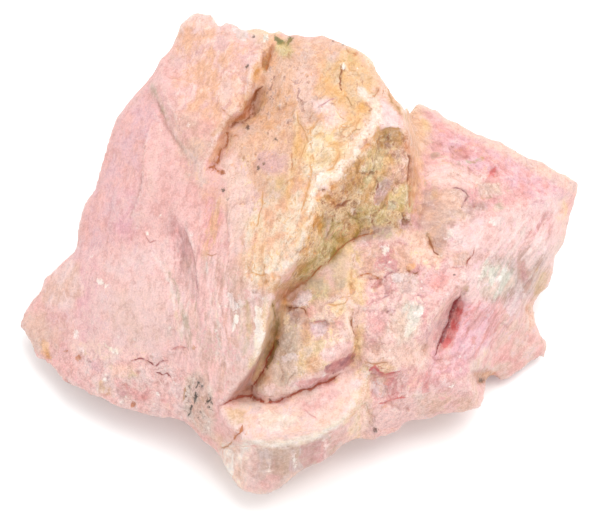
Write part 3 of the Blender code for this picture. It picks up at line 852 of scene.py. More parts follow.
def break_tree(material):
    tree, given = new_geometry_tree("broken_mineral", BREAK_SIZES)

    def attribute(name, kind="FLOAT"):
        return tree_node(tree, "GeometryNodeInputNamedAttribute", {"Name": name}, data_type=kind).outputs[0]

    def product(*values):
        return chain(tree, "MULTIPLY", *values)

    def less(value, taken):
        return maths(tree, "SUBTRACT", value, taken)

    def per(width):
        return maths(tree, "DIVIDE", 1.0, given[width])

    def rough_noise(vector, width, output="Fac"):
        return tree_node(tree, "ShaderNodeTexNoise", {
            "Vector": vector, "Scale": per(width), "Detail": 3.0, "Roughness": 0.6,
        }).outputs[output]

    def vectors(operation, *values, output=0):
        return tree_node(tree, "ShaderNodeVectorMath", enumerate(values), operation=operation).outputs[output]

    def scaled(vector, factor):
        given_in = {0: vector, "Scale": factor}
        return tree_node(tree, "ShaderNodeVectorMath", given_in, operation="SCALE").outputs[0]

    def facets(width, tilt):
        """Cells of broken mineral, each a flat face that leans its own way."""
        spot = scaled(plates, per(width))
        cell = tree_node(tree, "ShaderNodeTexVoronoi", {"Vector": spot, "Scale": 1.0})
        lean = vectors("SUBTRACT", scaled(cell.outputs["Color"], 2.0), (1.0, 1.0, 1.0))
        from_middle = vectors("SUBTRACT", spot, cell.outputs["Position"])
        rise = vectors("DOT_PRODUCT", from_middle, lean, output="Value")
        return product(rise, given[width], given[tilt])

    place = tree.nodes.new("GeometryNodeInputPosition").outputs[0]
    ragged = vectors("SUBTRACT", rough_noise(place, "Ragged width", "Color"), (0.5, 0.5, 0.5))
    plates = vectors("ADD", attribute("plate_place", "FLOAT_VECTOR"), scaled(ragged, given["Ragged reach"]))

    terrace = product(rough_noise(plates, "Terrace width"), given["Terrace levels"])
    scarp = tree_node(tree, "ShaderNodeMapRange", {
        "Value": maths(tree, "FRACT", terrace), "From Min": TERRACE_SCARP, "From Max": 1.0,
    }).outputs["Result"]
    level = maths(tree, "ADD", maths(tree, "FLOOR", terrace), scarp)
    level = less(level, product(given["Terrace levels"], 0.5))

    fibre = less(rough_noise(attribute("fibre_place", "FLOAT_VECTOR"), "Fibre width"), 0.5)
    grains = tree_node(tree, "ShaderNodeTexVoronoi", {"Vector": place, "Scale": per("Sugar width")})
    sugar = less(SUGAR_LEVEL, grains.outputs["Distance"])
    plate_share = attribute("plate_share")

    total = chain(
        tree, "ADD",
        product(fibre, 2.0, attribute("fibre_share"), given["Fibre height"]),
        product(sugar, attribute("sugar_share"), given["Sugar height"]),
        product(facets("Plate width", "Plate tilt"), plate_share),
        product(facets("Chip width", "Chip tilt"), plate_share),
        product(level, plate_share, given["Terrace height"]),
    )
    offset = scaled(tree.nodes.new("GeometryNodeInputNormal").outputs[0], product(total, attribute("free")))
    geometry = given["Geometry"]
    for name, kind, value in (("plate_spot", "FLOAT_VECTOR", plates), ("terrace", "FLOAT", terrace),
                              ("rest_place", "FLOAT_VECTOR", place)):
        geometry = tree_node(tree, "GeometryNodeStoreNamedAttribute", {
            "Geometry": geometry, "Name": name, "Value": value,
        }, data_type=kind, domain="POINT").outputs[0]
    moved = tree_node(tree, "GeometryNodeSetPosition", {"Geometry": geometry, "Offset": offset})
    end_geometry_tree(tree, moved.outputs[0], material)
    return tree


stone_finish = bpy.data.materials.new("pink_thulite_break")
before = read(stone.data, "co", 3)
run_geometry_tree(stone, break_tree(stone_finish), BREAK_SIZES)
after = read(stone.data, "co", 3)
moved = np.linalg.norm(after - before, axis=1) / MM
print("the break moved vertices by", round(float(moved.mean()), 3), "mm")
print("triangles:", len(stone.data.loops) - 2 * len(stone.data.polygons))

# %% [markdown]
# ## Kept inside its solid, and flat where it rests
#
# The stone must not outgrow the solid that stands for it, and it has to sit flat. The vertices are
# therefore held within the solid's box, and those of the resting break go back to the level of the table.

# %% Hold the stone in its box
places = np.clip(after, np.array(CAD_BOX[0]), np.array(CAD_BOX[1]))
places[resting > 0.5, 2] = 0.0
stone.data.vertices.foreach_set("co", places.ravel())
stone.data.update()
wide_hollow = hollowness(rounds=40)
store("near_hollow", hollowness(rounds=5))
store("wide_hollow", wide_hollow)
print("resting vertices:", int((resting > 0.5).sum()))
print("deepest hollow:", round(float(wide_hollow.max()), 1), "tenths")

# %% [markdown]
# ## Pigments
#
# Manganese makes zoisite pink, iron makes it ochre, and clay and epidote bring olive and grey. No zone of
# the stone has one colour: it is a mosaic of grains. Each wash therefore lays three pigments at once, a
# main one, a second one and a rare one, and the material later picks one of the three for each grain. A
# picture of the stone could be projected instead, but its light would be baked in, and the hidden sides
# would have nothing.

# %% The palette, as daylight shows it
PALETTE = {
    "pink": (243, 192, 186), "blush": (248, 204, 198), "petal": (251, 215, 210), "rose": (233, 168, 166),
    "brick": (214, 144, 140), "wine": (150, 44, 48), "crimson": (219, 107, 106), "mauve": (226, 186, 190),
    "plum": (206, 150, 150), "orchid": (238, 186, 194), "peach": (246, 196, 167),
    "apricot": (239, 187, 150), "shell": (252, 212, 195), "cream": (250, 215, 169),
    "ivory": (253, 229, 200), "white": (254, 243, 234), "ochre": (242, 193, 138), "honey": (226, 166, 108),
    "amber": (204, 138, 92), "rust": (150, 80, 34), "bark": (92, 54, 30), "tan": (214, 170, 124),
    "sand": (232, 193, 148), "umber": (192, 142, 88), "moss": (156, 124, 62), "fern": (98, 104, 50),
    "beige": (234, 195, 180), "fawn": (228, 184, 160), "grey": (216, 182, 162), "slate": (194, 160, 138),
    "ash": (234, 207, 192), "taupe": (204, 166, 154), "lichen": (190, 174, 146), "straw": (226, 200, 146),
    "mint": (224, 222, 206), "lilac": (238, 216, 216), "soot": (62, 52, 42), "haze": (216, 190, 184),
    "sienna": (164, 62, 26), "olive": (198, 190, 124), "clay": (224, 158, 124), "khaki": (206, 180, 128),
    "copper": (196, 112, 48), "russet": (172, 92, 32), "mulberry": (150, 84, 92),
}
PAINT_GAIN = 0.68


def pigment(name):
    """A palette colour as linear light, for a shader, darker by what the bright sky adds."""
    shown = np.array(PALETTE[name]) / 255
    return PAINT_GAIN * np.where(shown > 0.04045, ((shown + 0.055) / 1.055) ** 2.4, shown / 12.92)


print(len(PALETTE), "pigments")

# %% Washes: the wide zones in order, each with its pigments, feather, strength and outline
WASHES = {
    "left face": ("pink pink rose", 16, 1.0, "100,60 240,60 240,440 0,440 0,280"),
    "left face, edge": ("pink orchid rose", 6, 0.7, "150,88 158,118 143,160 140,190 118,240 70,270 "
        "120,120"),
    "left face, middle": ("blush petal mauve", 20, 0.7, "88,250 185,240 204,350 110,372 54,330"),
    "left face, pink stripe": ("orchid pink rose", 6, 0.6, "78,262 92,248 100,290 92,330 80,345 76,300"),
    "left face, veil": ("ash blush beige", 10, 0.5, "112,290 160,282 172,340 132,352 110,330"),
    "left face, pale foot": ("petal shell cream", 5, 0.6, "68,338 100,344 150,350 146,364 104,360 72,352"),
    "left shoulder": ("beige petal shell", 5, 0.85, "40,288 58,270 70,260 79,266 81,290 76,306 60,309 "
        "42,305"),
    "below the shoulder": ("beige rose mauve", 4, 0.6, "42,312 70,311 72,338 62,356 46,344"),
    "left tip": ("beige beige fawn", 6, 0.9, "18,318 40,310 52,330 46,358 28,350"),
    "mauve cloud": ("orchid pink mauve", 10, 0.8, "112,196 140,186 142,222 118,240 104,222"),
    "lens": ("plum rose pink", 6, 0.6, "170,216 184,220 194,250 196,276 182,270 168,240"),
    "peak": ("peach blush shell", 8, 0.85, "172,10 212,8 226,30 205,55 176,60"),
    "under the peak": ("peach pink shell", 9, 0.9, "180,44 236,34 262,44 246,100 226,150 196,150 176,100"),
    "below the groove": ("pink fawn apricot", 9, 0.8, "176,110 214,120 222,165 206,200 178,170"),
    "pillar": ("peach fawn honey", 7, 1.0, "262,36 352,44 380,80 372,110 345,150 312,200 300,250 268,292 "
        "244,300 236,250 224,205 224,165 250,118"),
    "top of the pillar": ("fawn beige peach", 5, 0.8, "286,36 352,44 346,60 290,62"),
    "pink of the pillar": ("apricot peach taupe", 9, 0.9, "264,62 292,58 306,90 300,130 268,146 254,118"),
    "pale band": ("petal shell mauve", 6, 0.6, "292,66 310,62 316,100 306,122 296,96"),
    "middle of the pillar": ("fawn peach ochre", 9, 0.85, "236,140 300,132 304,190 286,208 240,196"),
    "lower pillar": ("peach ivory ochre", 9, 0.9, "236,205 300,200 290,262 262,290 240,280"),
    "mauve of the pillar": ("mauve fawn rose", 4, 0.6, "256,152 275,148 291,158 290,172 272,176 256,170"),
    "grey of the pillar": ("straw ash tan", 4, 0.5, "268,178 284,176 288,190 278,202 267,196"),
    "ochre of the pillar": ("ochre honey apricot", 3, 0.6, "294,136 306,140 310,150 308,172 303,186 296,176 "
        "292,150"),
    "pale strip": ("petal shell cream", 3, 0.75, "236,158 246,160 250,180 258,190 262,212 250,218 243,200 "
        "238,180"),
    "flank": ("petal shell blush", 6, 0.8, "222,158 238,150 246,200 246,250 228,262 226,200"),
    "rose streak": ("apricot rose clay", 5, 0.8, "204,190 222,186 220,230 212,258 202,254"),
    "wedge": ("beige petal rose", 8, 0.8, "212,256 244,268 264,300 256,350 224,404 210,340"),
    "wedge, left": ("beige blush rose", 8, 0.6, "186,262 212,262 218,350 218,400 192,372"),
    "cream block": ("cream ivory ochre", 4, 0.95, "310,126 346,122 352,148 332,168 304,178 302,148"),
    "crest, sunny side": ("peach ivory ochre", 5, 0.7, "296,180 330,170 318,200 306,240 292,262 290,226"),
    "vein": ("ochre cream honey", 2.5, 0.5, "364,98 374,94 384,108 384,122 376,128 373,138 364,141 361,150 "
        "352,153 345,166 336,163 343,150 352,140 356,130 365,122"),
    "vein, low": ("ivory white cream", 2.5, 0.6, "341,166 331,172 327,183 318,188 312,199 304,194 312,182 "
        "322,172 334,163"),
    "right rim": ("shell peach honey", 4, 0.8, "364,60 380,78 402,108 392,120 374,92"),
    "hollow foot": ("umber khaki moss", 4, 0.85, "300,280 322,254 348,228 378,220 384,232 352,240 326,264 "
        "302,290"),
    "hollow": ("tan sand umber", 3, 1.0, "377,129 410,133 414,230 375,234 345,244 320,268 292,292 284,296 "
        "302,247 316,200 343,175 371,144"),
    "hollow, left strip": ("honey ochre umber", 3, 0.95, "313,200 324,192 322,236 308,256 300,262"),
    "hollow, ochre": ("amber honey ochre", 3, 0.85, "328,182 344,178 348,196 342,208 328,208"),
    "hollow, tan": ("tan umber sand", 3, 0.7, "344,166 358,162 362,184 350,196 344,190"),
    "hollow, lichen": ("sand khaki straw", 4, 0.85, "362,152 384,148 390,162 376,186 360,192"),
    "hollow, pink side": ("fawn beige peach", 3, 0.8, "401,130 412,134 412,160 400,164"),
    "hollow, brick": ("fawn brick tan", 4, 0.7, "388,164 404,164 408,186 396,192 388,180"),
    "hollow, straw": ("straw cream tan", 3, 0.85, "392,190 410,184 411,206 398,212 382,214 384,204"),
    "hollow, olive": ("khaki straw tan", 4, 0.8, "352,208 384,204 390,222 362,230 350,222"),
    "hollow, foot": ("khaki straw honey", 4, 0.85, "322,214 334,216 348,232 350,244 332,262 306,282 300,276 "
        "318,248"),
    # Painted shade: slate grey along the foot of the hollow, above the slabs.
    "hollow, shaded slate foot": ("slate taupe khaki", 2.5, 0.9, "358,232 372,226 392,228 392,238 366,242"),
    "hollow, dark corner": ("slate plum umber", 2.5, 0.8, "398,222 408,220 412,230 400,232"),
    "upper ochre": ("ochre sand honey", 6, 0.8, "320,60 360,52 378,84 370,106 338,110 318,92"),
    "ochre top": ("sand ochre tan", 3, 0.8, "340,50 356,48 360,66 348,74 338,70"),
    "ochre, tan side": ("tan sand umber", 3, 0.7, "333,64 341,64 341,84 334,80"),
    "ochre low": ("ochre sand tan", 3.5, 0.8, "346,98 366,98 372,112 358,120 344,112"),
    "ochre lines": ("ochre cream honey", 3, 0.7, "334,118 360,112 364,128 344,138 332,132"),
    "lilac of the pillar": ("petal lilac shell", 3, 0.7, "310,102 330,98 336,110 318,116"),
    "pale under the ochre": ("shell petal ivory", 4, 0.7, "322,110 344,106 344,122 326,126"),
    "outer band": ("tan honey peach", 2.5, 0.7, "388,88 398,100 404,116 396,112 388,100"),
    "crest crystals": ("petal lilac beige", 3, 0.8, "380,98 392,106 400,126 380,130 382,114"),
    "block": ("fawn cream grey", 3, 1.0, "284,302 300,288 345,288 353,326 358,345 324,368 320,380 297,394 "
        "266,396 255,387 277,345"),
    "block, cream side": ("beige shell cream", 4, 0.9, "310,304 344,292 354,318 352,340 322,350 310,340"),
    "block, grey side": ("ash grey straw", 4, 0.85, "279,318 300,318 304,352 298,386 272,386 272,350"),
    "block, olive corner": ("lichen straw tan", 4, 0.8, "306,280 326,274 330,296 310,300"),
    "block, cream foot": ("cream ash shell", 4, 0.7, "298,346 312,344 314,376 296,380"),
    "block, peach": ("apricot peach shell", 3, 0.7, "306,356 321,356 322,374 306,376"),
    "block, pink side": ("blush shell rose", 3, 0.85, "320,352 350,338 354,352 326,364"),
    "block, low edge": ("rose blush mauve", 3, 0.8, "290,380 322,370 334,377 310,390 284,396"),
    "block, low left": ("beige blush ash", 3, 0.7, "262,384 290,384 288,397 260,398"),
    "grey plate": ("taupe grey fawn", 2, 0.85, "287,309 304,309 307,322 290,324"),
    "ledge": ("shell petal peach", 4, 1.0, "222,409 250,402 300,403 345,380 366,372 360,402 331,429 293,441 "
        "256,442 236,430"),
    "ledge, pink end": ("blush shell rose", 5, 0.7, "300,404 345,380 352,392 322,412 302,416"),
    "ledge, sandy end": ("sand shell fawn", 4, 0.5, "224,408 244,404 250,418 240,428"),
    "prow face": ("shell white ivory", 5, 1.0, "222,446 256,442 252,480 246,500 222,474"),
    # Painted shade: the front face looks down, and its greys stand partly for the shade on it.
    "front face": ("grey haze taupe", 4, 1.0, "256,447 293,446 331,434 346,424 346,438 322,464 300,476 "
        "262,494 250,470"),
    "front, grey side": ("grey haze ash", 6, 0.7, "264,448 298,444 304,462 278,474 262,466"),
    "front foot": ("blush beige peach", 5, 0.6, "240,482 330,466 300,500 240,504"),
    "slabs": ("blush rose shell", 7, 0.95, "352,245 432,240 470,270 440,340 420,366 366,362 350,300"),
    "slabs, top": ("fawn brick taupe", 6, 0.75, "352,248 424,244 430,268 404,280 360,284"),
    "slabs, mauve top": ("beige brick mauve", 3, 0.7, "366,242 386,242 386,256 368,258"),
    "slabs, pink": ("rose pink blush", 5, 0.6, "366,300 392,300 392,330 374,332"),
    "slabs, pink right": ("pink orchid rose", 5, 0.7, "424,272 456,270 450,298 426,302"),
    "olive beside the valley": ("lichen sand straw", 4, 0.75, "330,264 350,244 358,250 350,284 336,292"),
    "slabs, rose": ("rose blush brick", 6, 0.6, "416,262 448,264 450,286 424,290"),
    "pale slab": ("ash blush grey", 5, 0.7, "388,298 418,298 424,330 400,348 384,330"),
    "lower slabs": ("beige shell fawn", 5, 0.8, "356,344 432,342 428,366 366,366"),
    "slate plate": ("haze ash mauve", 3, 0.7, "392,273 416,275 424,292 398,296"),
    "white slab": ("ash mint shell", 4, 0.8, "404,300 424,306 414,336 400,344 396,322"),
    "cream lane": ("cream shell fawn", 4, 0.8, "344,246 360,240 366,300 362,366 350,366 356,330 346,290"),
    "upper lane": ("shell peach cream", 4, 0.85, "405,230 426,228 434,250 444,256 438,268 412,262"),
    "slit, left wall": ("blush mauve haze", 3, 0.85, "460,288 460,298 447,326 438,348 424,342 434,318 "
        "448,298"),
    "rose fold": ("rose pink brick", 4, 0.8, "370,374 406,372 410,398 384,402 370,396"),
    "ash in the fold": ("ash lilac rose", 2.5, 0.75, "371,378 384,376 386,396 374,396"),
    "low ledge": ("petal pink rose", 6, 0.85, "372,408 400,400 426,396 424,418 388,432 356,440 340,446"),
    "cream wedge": ("shell cream ash", 4, 0.7, "352,392 366,382 372,420 362,440 350,438 356,414"),
    "orchid foot": ("orchid rose mauve", 5, 0.85, "430,350 470,350 468,384 440,396 430,378"),
    "lichen beside the fold": ("beige ash taupe", 4, 0.7, "414,392 428,396 434,412 418,418"),
    "right corner": ("beige pink rose", 6, 0.9, "430,392 480,372 490,392 464,414 426,418"),
    "taupe facet": ("taupe fawn slate", 2, 0.9, "431,240 446,238 449,254 440,259"),
    "fawn facet": ("fawn beige grey", 4, 0.7, "446,250 472,248 473,268 450,270"),
    "right block, top": ("pink rose grey", 6, 1.0, "416,104 500,140 580,180 546,204 470,222 412,232 "
        "406,150"),
    "right block, rear": ("pink orchid rose", 7, 0.7, "430,110 520,150 584,184 560,200 500,178 440,138"),
    "right block, corner": ("sand beige peach", 5, 0.9, "402,104 422,106 430,130 420,170 410,164"),
    "right block, low": ("fawn taupe beige", 6, 0.9, "414,190 450,186 470,206 462,238 420,238"),
    "rose bands": ("rose orchid brick", 7, 0.5, "440,132 462,138 492,162 520,184 490,182 456,160"),
    "rear rim": ("shell beige peach", 4, 0.75, "425,102 500,136 584,178 576,194 545,178 500,152 440,122"),
    "rose band": ("rose orchid pink", 5, 0.6, "434,126 470,140 520,168 560,192 556,206 520,192 480,170 "
        "444,148"),
    "pale middle": ("petal shell blush", 4, 0.8, "424,166 452,164 486,178 480,186 452,186 430,184"),
    "inside the crescent": ("shell fawn petal", 3, 0.7, "446,188 462,190 460,206 444,222 436,212"),
    "right rose": ("rose orchid pink", 5, 0.6, "534,190 558,198 552,236 530,238 528,210"),
    "rust beside the crack": ("apricot amber clay", 3, 0.6, "411,168 417,170 421,186 420,200 412,204"),
    "wall beside the pillar": ("peach apricot beige", 3, 0.7, "408,108 420,110 424,140 420,166 410,166"),
    "rose by the edge": ("peach rose apricot", 3, 0.7, "412,158 424,162 422,206 412,208"),
    "grey diagonal": ("ash taupe mauve", 4, 0.6, "440,212 470,206 480,216 452,238 436,236"),
    "grey slab, top": ("grey ash taupe", 3, 0.7, "478,184 500,184 502,195 480,197"),
    "mauve slab, top": ("taupe mauve grey", 3, 0.8, "468,201 488,202 488,212 468,212"),
    "front of right block": ("blush petal orchid", 8, 0.95, "446,224 560,200 552,290 510,340 470,360 "
        "450,300"),
    "rose corner": ("rose blush orchid", 6, 0.7, "530,212 552,212 548,234 530,234"),
    "front, middle": ("taupe haze mauve", 8, 0.95, "478,258 550,252 536,296 484,304"),
    "mint patch": ("mint ash lilac", 5, 0.75, "484,266 506,262 514,286 500,298 484,292"),
    "taupe patch": ("taupe haze slate", 5, 0.7, "518,258 542,262 538,288 520,288"),
    "straw rim": ("sand beige lichen", 4, 0.8, "538,270 554,268 548,290 534,300"),
    "orchid front": ("rose orchid mauve", 7, 0.95, "460,300 502,306 494,348 464,358 444,354"),
    "lump": ("pink beige mauve", 6, 0.9, "498,308 540,306 556,350 520,388 488,386 492,350"),
    "lump, peach edge": ("peach shell sand", 3, 0.7, "524,304 536,300 538,324 530,332"),
    # Painted shade: taupe and slate in the recess beside the lump.
    "lump recess": ("taupe amber slate", 2.5, 0.8, "473,373 488,370 498,376 492,384 478,384"),
    "speck ground": ("beige ash taupe", 4, 0.9, "184,376 200,370 214,390 214,440 196,430 184,418"),
    "foot, sandy": ("blush petal beige", 7, 0.7, "78,362 112,356 176,366 190,420 160,420 96,398"),
    "foot, mauve": ("mauve haze rose", 3, 0.7, "84,358 97,360 101,370 90,372"),
    "foot, cream": ("shell cream petal", 3, 0.7, "110,366 134,364 138,376 114,378"),
    "foot, rose": ("rose brick mauve", 3, 0.7, "118,382 126,384 132,396 122,400 116,392"),
    "foot, blush": ("blush pink petal", 3, 0.8, "156,378 170,378 172,391 158,392"),
    "foot, rosy": ("rose beige brick", 5, 0.5, "118,384 146,382 150,404 124,402"),
}
print(len(WASHES), "washes")

# %% Strokes: the narrow marks over the washes, each with its pigments, width, feather, strength and path
STROKES = {
    "crest thread": ("ivory white cream", 4, 2.0, 0.7, "315,195 310,212 304,232 298,250 286,268"),
    "crest grains": ("white ivory cream", 8, 3.0, 0.8, "266,272 278,268 290,262"),
    "upper crest": ("shell white honey", 8, 3.0, 0.8, "358,88 368,98 382,118 386,128"),
    "rim of the wedge": ("cream ivory honey", 6, 2.5, 0.85, "266,298 264,320 260,346 250,368"),
    # Painted shade: a slate grey band below the hollow, where the slabs begin.
    "shade at the head of the slabs": ("grey slate lichen", 8, 3.0, 0.6, "352,241 364,236 378,233 392,233"),
    "wedge, shaded side": ("cream sand honey", 7, 2.5, 0.9, "274,300 271,330 265,356 254,380"),
    "overhang": ("tan honey umber", 9, 3.0, 0.8, "270,290 284,287 300,282"),
    "cleft wall": ("honey tan umber", 8, 3.0, 0.9, "286,296 281,314 276,334 270,352"),
    "hollow, moss a": ("khaki moss umber", 7, 2.5, 0.9, "332,238 342,236 347,243"),
    "hollow, moss b": ("moss amber umber", 5, 2.0, 0.85, "353,238 358,233 362,232"),
    "hollow, moss c": ("moss khaki umber", 8, 3.0, 0.7, "324,246 336,254 330,262"),
    "hollow, grey": ("khaki slate grey", 6, 2.0, 0.7, "386,206 396,202"),
    "hollow, amber end": ("amber honey rust", 3.5, 1.5, 0.8, "409,211 417,211"),
    "hollow, slate": ("slate taupe plum", 5, 2.5, 0.6, "324,214 328,222 326,240"),
    "far edge": ("clay peach tan", 9, 2.5, 0.85, "407,130 408,156 408,182"),
    "far edge, low": ("tan straw umber", 9, 2.5, 0.85, "408,184 409,214"),
    "crack wall": ("honey clay amber", 8, 3.0, 0.9, "258,62 252,80 246,98 240,112"),
    "crack wall, low": ("apricot clay honey", 7, 2.5, 0.8, "226,128 219,145 210,163"),
    "below the crack": ("ochre tan honey", 4, 2.0, 0.6, "266,88 262,104 256,116 246,124 232,132 230,146 "
        "224,158"),
    "ledge, shaded": ("ash grey sand", 8, 3.0, 0.5, "238,402 250,405 262,405"),
    "far edge orange": ("amber honey peach", 7, 3.0, 0.8, "411,178 414,186"),
    "yellow line a": ("ochre honey cream", 3.5, 1.5, 0.8, "326,146 338,144 350,140"),
    "yellow line b": ("honey ochre cream", 3.0, 1.5, 0.7, "340,150 336,160 326,168"),
    "front mauve": ("taupe mauve plum", 6, 2.5, 0.6, "292,450 291,474"),
    "front mauve, left": ("taupe plum grey", 6, 2.5, 0.5, "276,456 274,480"),
    "front pink": ("pink rose blush", 12, 4.0, 0.7, "326,440 318,462"),
    "front pink, left": ("blush pink petal", 12, 4.0, 0.6, "252,450 252,490"),
    "foot, tan": ("tan beige fawn", 10, 3.0, 0.6, "96,384 106,388 110,396"),
    # Painted shade: olive brown down the cleft, a stain with the shade in the cleft laid into it.
    "cleft olive": ("umber moss honey", 5, 2.0, 0.8, "278,318 272,342 264,362"),
    "main crack, elbow": ("amber honey rust", 5, 2.0, 0.8, "214,134 228,122 246,118"),
    "rose fold, left": ("rose pink brick", 4, 2.5, 0.5, "176,50 178,66 178,84"),
    "groove": ("lichen beige ash", 4.5, 2.4, 0.75, "151,83 155,94 160,104 167,118"),
    "groove, low": ("ash grey lilac", 2.6, 2.0, 0.7, "165,114 170,128 177,138 184,147 190,160"),
    "groove side": ("rose brick rose", 2.6, 1.8, 0.6, "155,97 160,110 165,121 171,132 178,143"),
    "greys below the groove": ("ash lilac grey", 8, 4.0, 0.5, "186,150 198,164 202,186"),
    "lens rim": ("petal blush rose", 3, 2.0, 0.6, "184,220 192,240 200,264 203,296"),
    "pale fold": ("petal shell blush", 9, 5.0, 0.35, "160,124 152,160 151,188 140,220"),
    "ochre thread a": ("ochre cream honey", 6, 3.0, 0.7, "296,112 298,140 292,170 286,210"),
    "ochre thread b": ("ochre honey cream", 4, 2.0, 0.8, "344,126 338,146 324,160"),
    "ochre side": ("ochre cream honey", 6, 3.5, 0.6, "312,192 304,222 296,250"),
    "olive patch": ("straw tan moss", 15, 4.0, 0.95, "280,42 284,48 288,56"),
    "top whites": ("petal lilac white", 9, 4.0, 0.6, "184,16 204,18 216,28"),
    "orange tip": ("honey fawn amber", 6, 3.0, 0.7, "39,342 43,350 49,360"),
    "pale fibres a": ("white petal blush", 3, 1.5, 0.5, "190,300 184,320 180,338"),
    "pale fibres b": ("lichen ash beige", 4, 2.0, 0.5, "176,292 184,318 190,346"),
    "pale fibres c": ("ivory white cream", 4, 2.0, 0.4, "246,220 250,246 246,282"),
    "pale fibres d": ("ivory cream ochre", 3, 1.5, 0.4, "258,214 260,240 256,272"),
    "ochre fibres": ("ochre honey cream", 4, 2.0, 0.4, "264,240 262,262 262,286"),
    "pink fibres": ("rose blush rose", 5, 3.0, 0.35, "218,262 222,300 226,350"),
    "white of the ledge": ("white ivory lilac", 6, 2.5, 0.95, "246,440 272,444 294,442 314,436 334,426 "
        "348,414"),
    "streak a": ("white petal ash", 2.6, 1.5, 0.75, "152,252 164,268 176,300"),
    "streak b": ("lichen ash grey", 2.6, 1.5, 0.6, "164,262 176,286 186,318 192,344"),
    "streak c": ("ivory petal white", 2.2, 1.2, 0.6, "170,292 178,318 182,346"),
    "streak d": ("lichen ash taupe", 3.0, 1.5, 0.5, "196,300 200,330 198,356"),
    "streak e": ("white petal blush", 2.4, 1.5, 0.6, "206,262 210,290 212,330"),
    "streak f": ("mauve plum rose", 4.0, 2.0, 0.4, "190,268 198,300 204,340"),
    "wedge white a": ("white ivory petal", 2.0, 1.2, 0.6, "216,300 219,330 218,362"),
    "wedge white b": ("white cream petal", 2.0, 1.2, 0.6, "240,296 243,318 240,340"),
    "wedge ochre": ("straw lichen sand", 5, 2.5, 0.55, "247,300 250,326 244,356"),
    "cream rim of the slit": ("shell cream petal", 4, 2.0, 0.7, "468,284 456,294 444,308 434,322"),
    "rose line on the lump": ("rose brick blush", 3.5, 2.0, 0.7, "500,360 508,358 518,363"),
    "lump stain": ("honey amber fawn", 3, 1.5, 0.7, "478,374 488,374 496,378"),
    "lane seam": ("honey cream amber", 3, 2.0, 0.6, "352,252 350,276 352,300"),
    "gully stain": ("umber moss fawn", 3.5, 2.0, 0.8, "428,233 432,246 440,252"),
    "front pale streaks": ("white petal lilac", 4, 2.5, 0.5, "528,226 508,258 496,286"),
    "front pale streaks, right": ("lilac petal mauve", 5, 3.0, 0.5, "544,240 528,268 514,292"),
}
print(len(STROKES), "strokes")

# %% [markdown]
# ## Paint, layer on layer
#
# The bare skin is a pale pink with clouds of other pigments in it. Washes and strokes then cover it one
# after the other, each by its own share. That is done three times, for the main, the second and the rare
# pigment, each with a wander of its own, so that no border falls in the same place twice.

# %% Lay the paint
BASE = ("pink", "blush", "fawn")
SHARP_FEATHER = 4.5
CLOUDS = {"blush": (6.0, 0.10), "taupe": (4.5, 0.34), "peach": (7.0, 0.22), "rose": (3.0, 0.40),
          "beige": (5.0, 0.34), "cream": (4.0, 0.42)}
CLOUD_EDGE = (-0.12, 0.16)
CLOUD_COVER = 0.6


def laid(colours, name, cover):
    """The colours, covered by a pigment for some share of each."""
    return colours + cover[:, None] * (pigment(name) - colours)


def clouded(name, seat):
    """A pigment clouded by others, as the bare skin of the stone."""
    colours = np.tile(pigment(name), (len(places), 1))
    for turn, (other, (width, threshold)) in enumerate(CLOUDS.items()):
        billows = swell(places, width * MM, octaves=4, seat=seat + 2.3 * turn)
        cloud = eased(billows, threshold + CLOUD_EDGE[0], threshold + CLOUD_EDGE[1])
        colours = laid(colours, other, CLOUD_COVER * cloud)
    return colours


def painted(which, colours, spots, fine_spots):
    """Linear colours after every wash and stroke, with the pigments in place which."""
    for trio, feather, strength, path in WASHES.values():
        cover = strength * patch(fine_spots if feather < SHARP_FEATHER else spots, path, feather)
        colours = laid(colours, trio.split()[which], cover)
    for trio, width, feather, strength, path in STROKES.values():
        colours = laid(colours, trio.split()[which], strength * stroke(fine_spots, path, width, feather))
    return colours


through = wander(places, width=7 * MM, reach=90, octaves=3, seat=21.0) * hidden[:, None]
spots = on_sheet(places)[:, :2] + through
bare = clouded(BASE[0], seat=1.3)
paints = []
for which, name in enumerate(("paint", "second_paint", "rare_paint")):
    wide_spots = spots + wander(places, width=2.0 * MM, reach=7.0, octaves=5, seat=2.7 + 4 * which)
    fine_spots = spots + wander(places, width=0.8 * MM, reach=2.6, octaves=3, seat=8.9 + 4 * which)
    start = bare + pigment(BASE[which]) - pigment(BASE[0])
    paints.append(painted(which, start, wide_spots, fine_spots))
    store(name, paints[which], "FLOAT_COLOR")
    print(name, "on average:", np.round(paints[which].mean(axis=0), 3))

# %% [markdown]
# ## Grains with a crisp outline
#
# Some grains are so large that their outline shows: the white crystals of the crest, the lilac plates of
# the block, rust spots, the wall of the slit. Colour that is stored on vertices blurs over one mesh step.
# How deep a vertex lies inside an outline doesn't: that number runs straight from vertex to vertex, so the
# material finds the outline between them. Each grain is two pigments, a strength and an outline, and each
# spot is a place with its radius.

